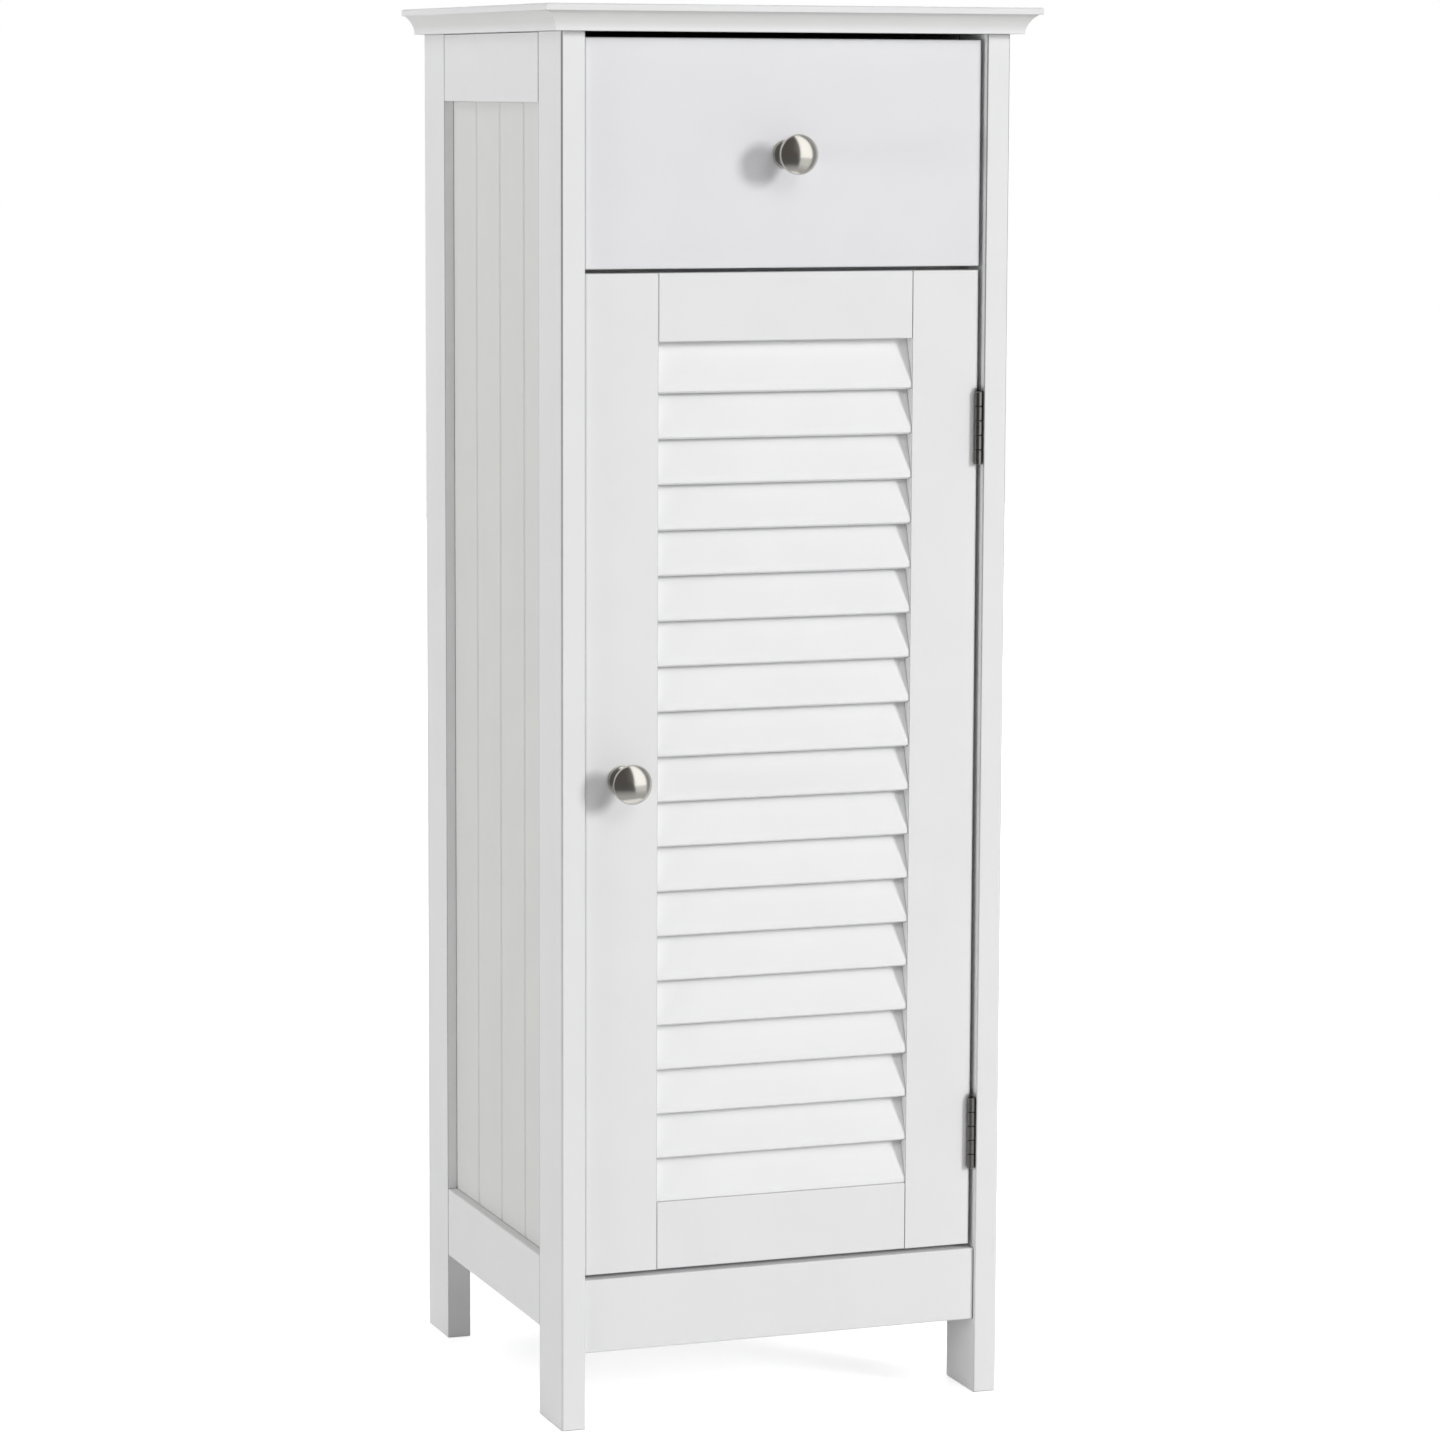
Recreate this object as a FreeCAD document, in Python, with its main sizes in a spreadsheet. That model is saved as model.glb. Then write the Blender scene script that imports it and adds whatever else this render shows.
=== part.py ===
import FreeCAD, Part
import math
import os
import re

import Sketcher
from FreeCAD import Placement, Rotation, Vector

# Slim floor cabinet: a moulded top on two frame-and-panel sides, one drawer over one
# louvred door. Millimetres, +Z up, the front faces -Y. The origin is on the floor, below
# the middle of the whole cabinet with its knobs.

os.makedirs("parts", exist_ok=True)
doc = FreeCAD.newDocument("louvred_door_cabinet")

# ---------------------------------------------------------------- driving dimensions

SIZES = {
    "total_height": (870, "floor to the top's upper face"),
    "body_width": (290, "over the two side frames"),
    "body_depth": (284, "front of the posts to the back"),
    "board_thick": (15, "legs, rails, apron, door and drawer front"),
    "arris": (1.6, "rounding of the legs' outer corners"),
    "soft_edge": (0.9, "rounding of the other painted edges"),
    "top_width": (320, "top board, side to side"),
    "top_depth": (300, "top board, front to back"),
    "top_thick": (16, "top board"),
    "lip_high": (4.3, "upright lip round the top"),
    "lip_round": (1.5, "rounding of the lip's upper edge"),
    "lip_step": (2, "step under the lip"),
    "cove_radius": (15, "hollow below the step"),
    "cove_in": (8.6, "foot of the hollow behind the lip"),
    "cove_foot": (1.3, "upright part below the hollow"),
    "leg_depth": (44.4, "front to back"),
    "side_top_rail": (42.6, "height"),
    "side_low_rail": (44.7, "height"),
    "side_low_up": (55.8, "floor to the lower side rail"),
    "side_panel_thick": (4, "side panel"),
    "panel_set_in": (6.4, "side panel behind the legs' outer face"),
    "panel_tongue": (6, "panel edge housed in legs and rails"),
    "vee_depth": (1.4, "V-grooves of the side panel"),
    "vee_wide": (2.8, "V-grooves at the face"),
    "vee_boards": (4, "board widths that the grooves mark"),
    "apron_up": (47.1, "floor to the apron"),
    "apron_height": (45.9, "apron and rear rail"),
    "apron_recess": (2.5, "apron behind the posts"),
    "floor_thick": (12, "bottom panel"),
    "divider_thick": (12, "panel between drawer and door"),
    "divider_up": (704.6, "floor to the divider"),
    "divider_set_in": (1.5, "divider behind the door's back"),
    "back_thick": (3, "back panel"),
    "back_rebate": (8, "width of the legs' rebate for the back panel"),
    "back_up": (62, "floor to the back panel"),
    "shelf_thick": (12, "shelf"),
    "shelf_up": (392, "floor to the shelf"),
    "shelf_clear": (1, "shelf to the side frames"),
    "shelf_set_in": (8, "shelf behind the door's back"),
    "shelf_air": (4, "shelf to the back panel"),
    "peg_hole": (5, "diameter of a shelf pin's hole"),
    "peg_hole_deep": (9, "depth of that hole"),
    "peg_short": (0.5, "end of the peg to the hole's floor"),
    "peg_play": (0.05, "peg in its hole"),
    "peg_from_front": (30, "holes from the legs' front or back face"),
    "bracket_thick": (1.2, "shelf pin's plates"),
    "bracket_wide": (9, "shelf pin's plates, front to back"),
    "bracket_reach": (9, "shelf pin, into the cabinet"),
    "bracket_drop": (1.5, "upright plate below the peg"),
    "front_recess": (4.7, "door and drawer front behind the posts"),
    "door_gap": (1.4, "door and drawer front to the left post"),
    "hinge_gap": (2.4, "door and drawer front to the right post"),
    "door_up": (95.7, "floor to the door"),
    "door_height": (614.2, "door"),
    "free_stile": (46.6, "door stile with the knob"),
    "hinge_stile": (43.9, "door stile on the hinges, planed to fit"),
    "door_top_rail": (41.5, "height"),
    "door_low_rail": (42.5, "height"),
    "slat_count": (19, "slats of the louvre"),
    "louvre_seat": (1.2, "flat of the low rail's top edge, in front of its slope"),
    "slat_pitch": (27.77, "slat to slat, up the door"),
    "slat_thick": (5.5, "slat board"),
    "slat_chord": (31.5, "width of the slat board"),
    "slat_tilt": (19, "degrees off upright, top leaning back"),
    "slat_plumb": (1.05, "taken off the slat's front and back by their plumb cuts"),
    "slat_bevel": (0.6, "bevels of the slat's other arrises"),
    "slat_first": (0.2, "lowest slat's plumb face above the low rail"),
    "housing_deep": (4, "slat end let into the stile"),
    "housing_play": (0.1, "around the slat"),
    "drawer_up": (712.4, "floor to the drawer front"),
    "drawer_height": (137.9, "drawer front"),
    "box_up": (724, "floor to the drawer box"),
    "box_height": (98, "drawer sides"),
    "box_depth": (236, "drawer sides, behind the front"),
    "box_thick": (12, "drawer sides and back"),
    "box_gap": (7, "drawer side to leg"),
    "drawer_floor_thick": (3, "drawer bottom"),
    "drawer_floor_up": (8, "drawer sides' lower edge to the bottom"),
    "drawer_floor_let": (5, "drawer bottom housed in sides and front"),
    "runner_up": (770, "floor to the runners"),
    "runner_high": (12, "runners"),
    "runner_long": (232, "runners"),
    "runner_let": (4.6, "runner inside the drawer side's groove"),
    "runner_play": (0.4, "around the runner in its groove"),
    "knob_reach": (27.7, "front of the knob from the face it is on"),
    "knob_foot_r": (8.7, "base flange"),
    "knob_foot_high": (2.2, "base flange"),
    "knob_neck_r": (5.2, "neck"),
    "knob_head_r": (12.2, "head"),
    "knob_head_at": (18.4, "underside of the head, from the face"),
    "knob_rim": (1.8, "height of the head's upright rim"),
    "knob_shoulder_r": (9.5, "corner between the dome's two tapers"),
    "knob_shoulder_at": (24.6, "that corner, from the face"),
    "knob_crown_r": (4.8, "flat on the dome"),
    "knob_bore_r": (2, "screw hole"),
    "knob_bore_deep": (11, "screw hole"),
    "knob_hole_r": (2.2, "screw's clearance hole in door and drawer"),
    "drawer_knob_up": (781, "floor to the drawer knob's axis"),
    "door_knob_up": (402.5, "floor to the door knob's axis"),
    "hinge_high": (45, "barrel"),
    "upper_hinge_up": (590, "floor to the upper barrel"),
    "lower_hinge_up": (145, "floor to the lower barrel"),
    "knuckles": (5, "in each barrel"),
    "knuckle_r": (2.4, "barrel"),
    "knuckle_play": (0.2, "between knuckles"),
    "knuckle_clear": (1, "barrel to the cut-outs of the other leaf"),
    "pin_r": (1.2, "hinge pin"),
    "pin_play": (0.05, "pin in knuckle"),
    "pin_head_r": (1.9, "hinge pin's head"),
    "pin_head": (3, "height of that head"),
    "leaf_thick": (1.1, "hinge leaf"),
    "leaf_wide": (17, "pin axis to the leaf's far edge"),
    "axis_in": (2.8, "pin axis from the post's inner face"),
    "axis_back": (2.4, "pin axis behind the posts' front"),
    "catch_wide": (44, "magnetic catch"),
    "catch_deep": (14, "magnetic catch"),
    "catch_high": (12.5, "magnetic catch"),
    "catch_from_side": (40, "catch's middle from the left post"),
    "strike_wide": (34, "strike plate"),
    "strike_high": (11, "strike plate"),
    "strike_thick": (1.2, "strike plate"),
    "strike_corner": (1.8, "strike plate's round corners"),
    "strike_air": (0.3, "strike plate to catch, door shut"),
}

dims = doc.addObject("Spreadsheet::Sheet", "dims")
for row, (alias, (value, note)) in enumerate(SIZES.items(), start=1):
    dims.set(f"A{row}", alias)
    dims.set(f"B{row}", str(value))
    dims.setAlias(f"B{row}", alias)
    dims.set(f"C{row}", note)
doc.recompute()

# Places that several pieces share, in the sheet's words.
FRONT = "((knob_reach - front_recess - body_depth) / 2)"
BACK = f"({FRONT} + body_depth)"
FACE = f"({FRONT} + front_recess)"
FACE_BACK = f"({FACE} + board_thick)"
REAR_FACE = f"({BACK} - back_thick)"
LEFT = "(-body_width / 2)"
RIGHT_LEG = "(body_width / 2 - board_thick)"
INNER_LEFT = f"({LEFT} + board_thick)"
INSIDE = "(body_width - 2 * board_thick)"
LEG_HIGH = "(total_height - top_thick)"
RAIL_Y = f"({FRONT} + leg_depth)"
RAIL_LONG = "(body_depth - 2 * leg_depth)"
SIDE_LOW_TOP = "(side_low_up + side_low_rail)"
SIDE_TOP_LOW = f"({LEG_HIGH} - side_top_rail)"
DOOR_LEFT = f"({INNER_LEFT} + door_gap)"
DOOR_WIDTH = f"({INSIDE} - door_gap - hinge_gap)"
LOUVRE_LEFT = f"({DOOR_LEFT} + free_stile)"
LOUVRE_WIDTH = f"({DOOR_WIDTH} - free_stile - hinge_stile)"
LOUVRE_UP = "(door_up + door_low_rail)"
BOX_LEFT = f"({INNER_LEFT} + box_gap)"
BOX_WIDTH = f"({INSIDE} - 2 * box_gap)"
PIN_X = f"({RIGHT_LEG} - axis_in)"
PIN_Y = f"({FRONT} + axis_back)"

# ---------------------------------------------------------------- small helpers


def cell(text):
    """An expression in the sheet's words, each word pointed at its cell."""

    def point(match):
        word = match.group()
        return f"dims.{word}" if word in SIZES else word

    return re.sub(r"[a-z_]+", point, text)


def size(text):
    """The value of such an expression, as a plain number."""
    return float(dims.evalExpression(cell(text)))


def bind(item, **texts):
    """Ties an object's properties to expressions."""
    for name, text in texts.items():
        item.setExpression(name, cell(text))


def put(item, x, y, z):
    """Ties an object's place to expressions."""
    for axis, text in zip("xyz", (x, y, z)):
        item.setExpression(f"Placement.Base.{axis}", cell(text))


def new_body(label):
    body = doc.addObject("PartDesign::Body", label)
    body.Label = label
    return body


def origin_of(body, role):
    """One of the body's own origin planes or axes."""
    return next(f for f in body.Origin.OriginFeatures if f.Role == role)


def new_sketch(body, plane, off="0", tilt=None, shift=("0", "0")):
    """An empty sketch on an origin plane, set off along its normal, slid and tilted in it."""
    sketch = body.newObject("Sketcher::SketchObject", f"{body.Name}_sketch")
    sketch.AttachmentSupport = [(origin_of(body, plane), "")]
    sketch.MapMode = "FlatFace"
    if tilt is not None:
        sketch.AttachmentOffset = Placement(Vector(), Rotation(Vector(0, 0, -1), 1))
        sketch.setExpression("AttachmentOffset.Rotation.Angle", cell(tilt))
    for axis, text in zip("xyz", (*shift, off)):
        sketch.setExpression(f"AttachmentOffset.Base.{axis}", cell(text))
    return sketch


def constrain(sketch, text, *parts):
    """A constraint whose value follows an expression."""
    spot = sketch.addConstraint(Sketcher.Constraint(*parts))
    sketch.setExpression(f"Constraints[{spot}]", cell(text))


def draw(sketch, corners, bows=()):
    """A closed outline through corners given as pairs of expressions. bows holds
    (side, radius, turn): that side is an arc, bowing left (+1) or right (-1) of its way."""
    points = [Vector(size(x), size(y), 0) for x, y in corners]
    first = sketch.GeometryCount
    count = len(points)
    arcs = {side: (radius, turn) for side, radius, turn in bows}
    for i, start in enumerate(points):
        end = points[(i + 1) % count]
        if i in arcs:
            radius, turn = size(arcs[i][0]), arcs[i][1]
            chord = end - start
            rise = math.sqrt(max(radius ** 2 - (chord.Length / 2) ** 2, 0))
            side = Vector(-chord.y, chord.x, 0).normalize() * turn
            middle = (start + end) / 2
            centre = middle - side * rise
            sketch.addGeometry(Part.Arc(start, centre + side * radius, end), False)
        else:
            sketch.addGeometry(Part.LineSegment(start, end), False)
    # An arc's ends are stored anticlockwise, so an arc drawn clockwise has them swapped.
    ends = {}
    for i in range(count):
        flipped = i in arcs and arcs[i][1] > 0
        ends[i] = (2, 1) if flipped else (1, 2)
    for i in range(count):
        nxt = (i + 1) % count
        sketch.addConstraint(
            Sketcher.Constraint("Coincident", first + i, ends[i][1], first + nxt, ends[nxt][0])
        )
    for i, (x, y) in enumerate(corners):
        for kind, value, text in (("DistanceX", points[i].x, x), ("DistanceY", points[i].y, y)):
            constrain(sketch, text, kind, -1, 1, first + i, ends[i][0], value)
    for i, (radius, _) in arcs.items():
        constrain(sketch, radius, "Radius", first + i, size(radius))
    return sketch


def rectangle(sketch, x, y, wide, high):
    right, top = f"{x} + {wide}", f"{y} + {high}"
    return draw(sketch, [(x, y), (right, y), (right, top), (x, top)])


def circle(sketch, x, y, radius):
    centre = Vector(size(x), size(y), 0)
    ring = sketch.addGeometry(Part.Circle(centre, Vector(0, 0, 1), size(radius)), False)
    constrain(sketch, x, "DistanceX", -1, 1, ring, 3, centre.x)
    constrain(sketch, y, "DistanceY", -1, 1, ring, 3, centre.y)
    constrain(sketch, radius, "Radius", ring, size(radius))
    return sketch


def pad(body, sketch, length):
    feature = body.newObject("PartDesign::Pad", f"{body.Name}_pad")
    feature.Profile = sketch
    bind(feature, Length=length)
    sketch.Visibility = False
    return feature


def cut(body, sketch, length=None, reverse=False):
    """A pocket of that depth, or right through both ways."""
    feature = body.newObject("PartDesign::Pocket", f"{body.Name}_cut")
    feature.Profile = sketch
    if length is None:
        feature.Type = "ThroughAll"
        feature.Midplane = True
    else:
        bind(feature, Length=length)
    feature.Reversed = reverse
    sketch.Visibility = False
    cuts.append((body, feature))
    return feature


def repeat(body, feature, axis, count, pitch):
    """The feature again and again along one of the body's axes."""
    pattern = body.newObject("PartDesign::LinearPattern", f"{body.Name}_row")
    pattern.Originals = [feature]
    pattern.Direction = (origin_of(body, axis), [""])
    bind(pattern, Occurrences=count, Length=f"({count} - 1) * {pitch}")
    body.Tip = pattern
    return pattern


def revolve(body, sketch):
    """A turned form about the sketch's own upright axis."""
    feature = body.newObject("PartDesign::Revolution", f"{body.Name}_turn")
    feature.Profile = sketch
    feature.ReferenceAxis = (sketch, ["V_Axis"])
    feature.Angle = 360
    sketch.Visibility = False
    return feature


def soften(body, wanted, radius="soft_edge"):
    """Rounds those edges of the body as it stands for which wanted(edge) is true."""
    doc.recompute()
    base = body.Tip
    edges = enumerate(base.Shape.Edges, start=1)
    names = [f"Edge{i}" for i, edge in edges if not edge.Degenerated and wanted(edge)]
    feature = body.newObject("PartDesign::Fillet", f"{body.Name}_soft")
    feature.Base = (base, names)
    bind(feature, Radius=radius)
    return feature


def along(edge, axis):
    """True for a straight edge along that axis."""
    ends = edge.Vertexes
    if len(ends) != 2 or not is_straight(edge):
        return False
    run = ends[1].Point - ends[0].Point
    return abs(run.normalize().dot(axis)) > 0.999


def lies(edge, **places):
    """True for an edge whose middle is at the given x, y or z."""
    middle = edge.BoundBox.Center
    return all(abs(getattr(middle, axis) - value) < 0.01 for axis, value in places.items())


def is_straight(edge):
    return edge.Curve.TypeId == "Part::GeomLine"


def board(label, wide, deep, high, x, y, z):
    """A plain board from its low corner: across, front to back, up."""
    body = new_body(label)
    pad(body, rectangle(new_sketch(body, "XY_Plane"), "0", "0", wide, deep), high)
    put(body, x, y, z)
    return body


def group(label, pieces):
    """Identical fittings under one name, as separate solids."""
    item = doc.addObject("Part::Feature", label)
    item.Label = label
    item.Shape = Part.makeCompound(pieces)
    return item


def copies(master, places):
    """The master's solid at each of the places."""
    shapes = []
    for place in places:
        shape = master.Shape.copy()
        shape.Placement = place.multiply(shape.Placement)
        shapes.append(shape)
    return shapes


X, Y, Z = Vector(1, 0, 0), Vector(0, 1, 0), Vector(0, 0, 1)
cuts = []
nodes = []

# ---------------------------------------------------------------- top


def make_top():
    """The top: one board, moulded below its lip to a hollow at the front and both sides."""
    body = board(
        "top_panel", "top_width", "top_depth", "top_thick",
        "-top_width / 2", f"{BACK} - top_depth", LEG_HIGH,
    )
    under_lip = "(top_thick - lip_high)"
    hollow = [
        ("-1", "-1"), ("cove_in", "-1"), ("cove_in", "cove_foot"),
        ("lip_step", under_lip), ("-1", under_lip),
    ]
    cut(body, draw(new_sketch(body, "YZ_Plane"), hollow, [(2, "cove_radius", -1)]))
    side = [(f"top_width - ({x})", y) for x, y in hollow]
    cut(body, draw(new_sketch(body, "XZ_Plane"), hollow, [(2, "cove_radius", -1)]))
    cut(body, draw(new_sketch(body, "XZ_Plane"), side, [(2, "cove_radius", 1)]))
    high = size("top_thick")
    soften(body, lambda e: lies(e, z=high), "lip_round")
    nodes.append(body)


# ---------------------------------------------------------------- side frames

PANEL_LOW = f"({SIDE_LOW_TOP} - panel_tongue)"
PANEL_HIGH = f"({SIDE_TOP_LOW} - {SIDE_LOW_TOP} + 2 * panel_tongue)"
PEG_UP = "(shelf_up - bracket_thick - peg_hole / 2)"


def groove_from(left):
    """The side panel's groove in a leg or rail, measured from the board's left face."""
    return "panel_set_in" if left else "board_thick - panel_set_in - side_panel_thick"


def make_leg(label, left, front):
    """A leg, the full height below the top, grooved for the side panel. The back legs have
    a rebate for the back panel, and each leg has a hole for a shelf pin."""
    x = LEFT if left else RIGHT_LEG
    y = FRONT if front else f"{BACK} - leg_depth"
    body = board(label, "board_thick", "leg_depth", LEG_HIGH, x, y, "0")
    groove_y = "leg_depth - panel_tongue" if front else "0"
    sketch = new_sketch(body, "XY_Plane", PANEL_LOW)
    rectangle(sketch, groove_from(left), groove_y, "side_panel_thick", "panel_tongue")
    cut(body, sketch, PANEL_HIGH, reverse=True)
    if not front:
        inner = "board_thick - back_rebate" if left else "0"
        sketch = new_sketch(body, "XY_Plane", "back_up")
        rectangle(sketch, inner, "leg_depth - back_thick", "back_rebate", "back_thick")
        cut(body, sketch, f"{LEG_HIGH} - back_up", reverse=True)
    sketch = new_sketch(body, "YZ_Plane", "board_thick" if left else "0")
    peg_y = "peg_from_front" if front else "leg_depth - peg_from_front"
    circle(sketch, peg_y, PEG_UP, "peg_hole / 2")
    cut(body, sketch, "peg_hole_deep", reverse=not left)
    outer_x = 0 if left else size("board_thick")
    outer_y = 0 if front else size("leg_depth")
    inner_x = size("board_thick") - outer_x
    soften(body, lambda e: along(e, Z) and lies(e, x=outer_x, y=outer_y), "arris")
    if front:
        soften(body, lambda e: along(e, Z) and lies(e, x=inner_x, y=outer_y))
    nodes.append(body)


def make_side_rail(label, left, top):
    """A side rail between two legs, grooved along the edge that holds the panel."""
    x = LEFT if left else RIGHT_LEG
    high = "side_top_rail" if top else "side_low_rail"
    z = SIDE_TOP_LOW if top else "side_low_up"
    body = board(label, "board_thick", RAIL_LONG, high, x, RAIL_Y, z)
    sketch = new_sketch(body, "XZ_Plane")
    groove_z = "0" if top else "side_low_rail - panel_tongue"
    rectangle(sketch, groove_from(left), groove_z, "side_panel_thick", "panel_tongue")
    cut(body, sketch)
    outer_x = 0 if left else size("board_thick")
    soften(body, lambda e: lies(e, x=outer_x) and is_straight(e))
    nodes.append(body)


def make_side_panel(label, left):
    """A side panel, its four boards marked by V-grooves in the outer face."""
    x = f"{LEFT} + panel_set_in" if left else "body_width / 2 - panel_set_in - side_panel_thick"
    body = board(
        label, "side_panel_thick", f"{RAIL_LONG} + 2 * panel_tongue", PANEL_HIGH,
        x, f"{RAIL_Y} - panel_tongue", PANEL_LOW,
    )
    face, root = ("0", "vee_depth") if left else ("side_panel_thick", "side_panel_thick - vee_depth")
    step = f"({RAIL_LONG} / vee_boards)"
    first = f"(panel_tongue + {step})"
    vee = [(face, f"{first} - vee_wide / 2"), (face, f"{first} + vee_wide / 2"), (root, first)]
    groove = cut(body, draw(new_sketch(body, "XY_Plane"), vee))
    repeat(body, groove, "Y_Axis", "vee_boards - 1", step)
    nodes.append(body)


def make_sides():
    for side, left in (("left", True), ("right", False)):
        make_leg(f"front_{side}_leg", left, True)
        make_leg(f"rear_{side}_leg", left, False)
        make_side_rail(f"{side}_top_rail", left, True)
        make_side_rail(f"{side}_bottom_rail", left, False)
        make_side_panel(f"{side}_side_panel", left)


# ---------------------------------------------------------------- carcass


def make_carcass():
    """The boards that tie the two side frames together, and the loose shelf."""
    apron_back = f"({FRONT} + apron_recess + board_thick)"
    apron = board(
        "front_apron", INSIDE, "board_thick", "apron_height",
        INNER_LEFT, f"{FRONT} + apron_recess", "apron_up",
    )
    soften(apron, lambda e: lies(e, y=0) and is_straight(e))
    rear = board(
        "rear_rail", INSIDE, "board_thick", "apron_height",
        INNER_LEFT, f"{REAR_FACE} - board_thick", "apron_up",
    )
    floor = board(
        "bottom_panel", INSIDE, f"{REAR_FACE} - board_thick - {apron_back}", "floor_thick",
        INNER_LEFT, apron_back, "apron_up + apron_height - floor_thick",
    )
    divider = board(
        "divider_panel", INSIDE, f"{REAR_FACE} - {FACE_BACK} - divider_set_in", "divider_thick",
        INNER_LEFT, f"{FACE_BACK} + divider_set_in", "divider_up",
    )
    back = board(
        "back_panel", f"{INSIDE} + 2 * back_rebate", "back_thick", f"{LEG_HIGH} - back_up",
        f"{INNER_LEFT} - back_rebate", REAR_FACE, "back_up",
    )
    shelf = board(
        "shelf", f"{INSIDE} - 2 * shelf_clear",
        f"{REAR_FACE} - shelf_air - {FACE_BACK} - shelf_set_in", "shelf_thick",
        f"{INNER_LEFT} + shelf_clear", f"{FACE_BACK} + shelf_set_in", "shelf_up",
    )
    soften(shelf, lambda e: along(e, X) and lies(e, y=0))
    nodes.extend([apron, rear, floor, divider, back, shelf])


def make_shelf_pins():
    """Four steel shelf pins: a peg in the leg and an angle bracket that carries the shelf."""
    pin = new_body("shelf_pin_pattern")
    peg_r = "(peg_hole / 2 - peg_play)"
    pad(pin, circle(new_sketch(pin, "XZ_Plane"), "0", "0", peg_r), "peg_hole_deep - peg_short")
    # The bracket, seen from the side: its upright plate on the leg, its shelf plate on top.
    low, high = f"(-{peg_r} - bracket_drop)", "(peg_hole / 2 + bracket_thick)"
    bracket = [
        ("0", low), ("bracket_thick", low), ("bracket_thick", "peg_hole / 2"),
        ("bracket_reach", "peg_hole / 2"), ("bracket_reach", high), ("0", high),
    ]
    pad(pin, draw(new_sketch(pin, "YZ_Plane", "-bracket_wide / 2"), bracket), "bracket_wide")
    doc.recompute()
    places = []
    for x, turn in ((INNER_LEFT, -90), (RIGHT_LEG, 90)):
        for y in (f"{FRONT} + peg_from_front", f"{BACK} - peg_from_front"):
            spot = Vector(size(x), size(y), size(PEG_UP))
            places.append(Placement(spot, Rotation(Z, turn)))
    nodes.append(group("shelf_pins", copies(pin, places)))


# ---------------------------------------------------------------- drawer


def make_runners():
    """Two hardwood strips on the legs that the drawer's grooved sides slide on."""
    thick = "(box_gap + runner_let)"
    for side, x in (("left", INNER_LEFT), ("right", f"{RIGHT_LEG} - {thick}")):
        nodes.append(board(
            f"{side}_drawer_runner", thick, "runner_long", "runner_high",
            x, f"{FACE_BACK} + runner_play", "runner_up",
        ))


def make_drawer_front():
    """The drawer front: a slab as wide as the door, with soft edges, grooved inside for the
    drawer's bottom."""
    front = board(
        "drawer_front", DOOR_WIDTH, "board_thick", "drawer_height", DOOR_LEFT, FACE, "drawer_up",
    )
    groove = new_sketch(front, "XZ_Plane", "-board_thick")
    rectangle(
        groove,
        "box_gap - door_gap + box_thick - drawer_floor_let", "box_up + drawer_floor_up - drawer_up",
        f"{BOX_WIDTH} - 2 * box_thick + 2 * drawer_floor_let", "drawer_floor_thick",
    )
    cut(front, groove, "drawer_floor_let", reverse=True)
    hole = new_sketch(front, "XZ_Plane")
    circle(hole, f"{INSIDE} / 2 - door_gap", "drawer_knob_up - drawer_up", "knob_hole_r")
    cut(front, hole)
    soften(front, lambda e: lies(e, y=0) and is_straight(e))
    nodes.append(front)


def make_drawer_side(side, left):
    """A drawer side with a groove outside for the runner and one inside for the bottom."""
    deep = "(runner_let + runner_play)"
    if left:
        x, run_x, floor_x = BOX_LEFT, "0", "box_thick - drawer_floor_let"
    else:
        x, run_x, floor_x = f"{BOX_LEFT} + {BOX_WIDTH} - box_thick", f"box_thick - {deep}", "0"
    body = board(f"drawer_{side}_side", "box_thick", "box_depth", "box_height", x, FACE_BACK, "box_up")
    run = new_sketch(body, "XZ_Plane")
    rectangle(run, run_x, "runner_up - box_up - runner_play", deep, "runner_high + 2 * runner_play")
    cut(body, run)
    floor = new_sketch(body, "XZ_Plane")
    rectangle(floor, floor_x, "drawer_floor_up", "drawer_floor_let", "drawer_floor_thick")
    cut(body, floor)
    nodes.append(body)


def make_drawer_box():
    make_drawer_side("left", True)
    make_drawer_side("right", False)
    under = "(drawer_floor_up + drawer_floor_thick)"
    nodes.append(board(
        "drawer_back", f"{BOX_WIDTH} - 2 * box_thick", "box_thick", f"box_height - {under}",
        f"{BOX_LEFT} + box_thick", f"{FACE_BACK} + box_depth - box_thick", f"box_up + {under}",
    ))
    nodes.append(board(
        "drawer_bottom", f"{BOX_WIDTH} - 2 * box_thick + 2 * drawer_floor_let",
        "box_depth + drawer_floor_let", "drawer_floor_thick",
        f"{BOX_LEFT} + box_thick - drawer_floor_let", f"{FACE_BACK} - drawer_floor_let",
        "box_up + drawer_floor_up",
    ))


# ---------------------------------------------------------------- knobs


def make_knob(label, x, z):
    """A turned metal knob, bored for its screw: base flange, neck and domed head."""
    body = new_body(label)
    outline = [
        ("knob_bore_r", "0"), ("knob_foot_r", "0"), ("knob_foot_r", "knob_foot_high"),
        ("knob_neck_r", "knob_foot_high"), ("knob_neck_r", "knob_head_at"),
        ("knob_head_r", "knob_head_at"), ("knob_head_r", "knob_head_at + knob_rim"),
        ("knob_shoulder_r", "knob_shoulder_at"), ("knob_crown_r", "knob_reach"),
        ("0", "knob_reach"), ("0", "knob_bore_deep"), ("knob_bore_r", "knob_bore_deep"),
    ]
    revolve(body, draw(new_sketch(body, "XY_Plane"), outline))
    # Turned along +Y, then set to point out of the front.
    body.Placement = Placement(Vector(), Rotation(Z, 180))
    put(body, x, FACE, z)
    nodes.append(body)


# ---------------------------------------------------------------- louvred door

# The low corner of a slat's section follows from its tilt, so that the slat lies centred in
# the stile's thickness.
HALF_DEEP = "((slat_thick * cos(slat_tilt) + slat_chord * sin(slat_tilt)) / 2)"
CORNER_Y = f"(board_thick / 2 - {HALF_DEEP})"
CORNER_Z = "(slat_first + slat_plumb * tan(slat_tilt))"


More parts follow.
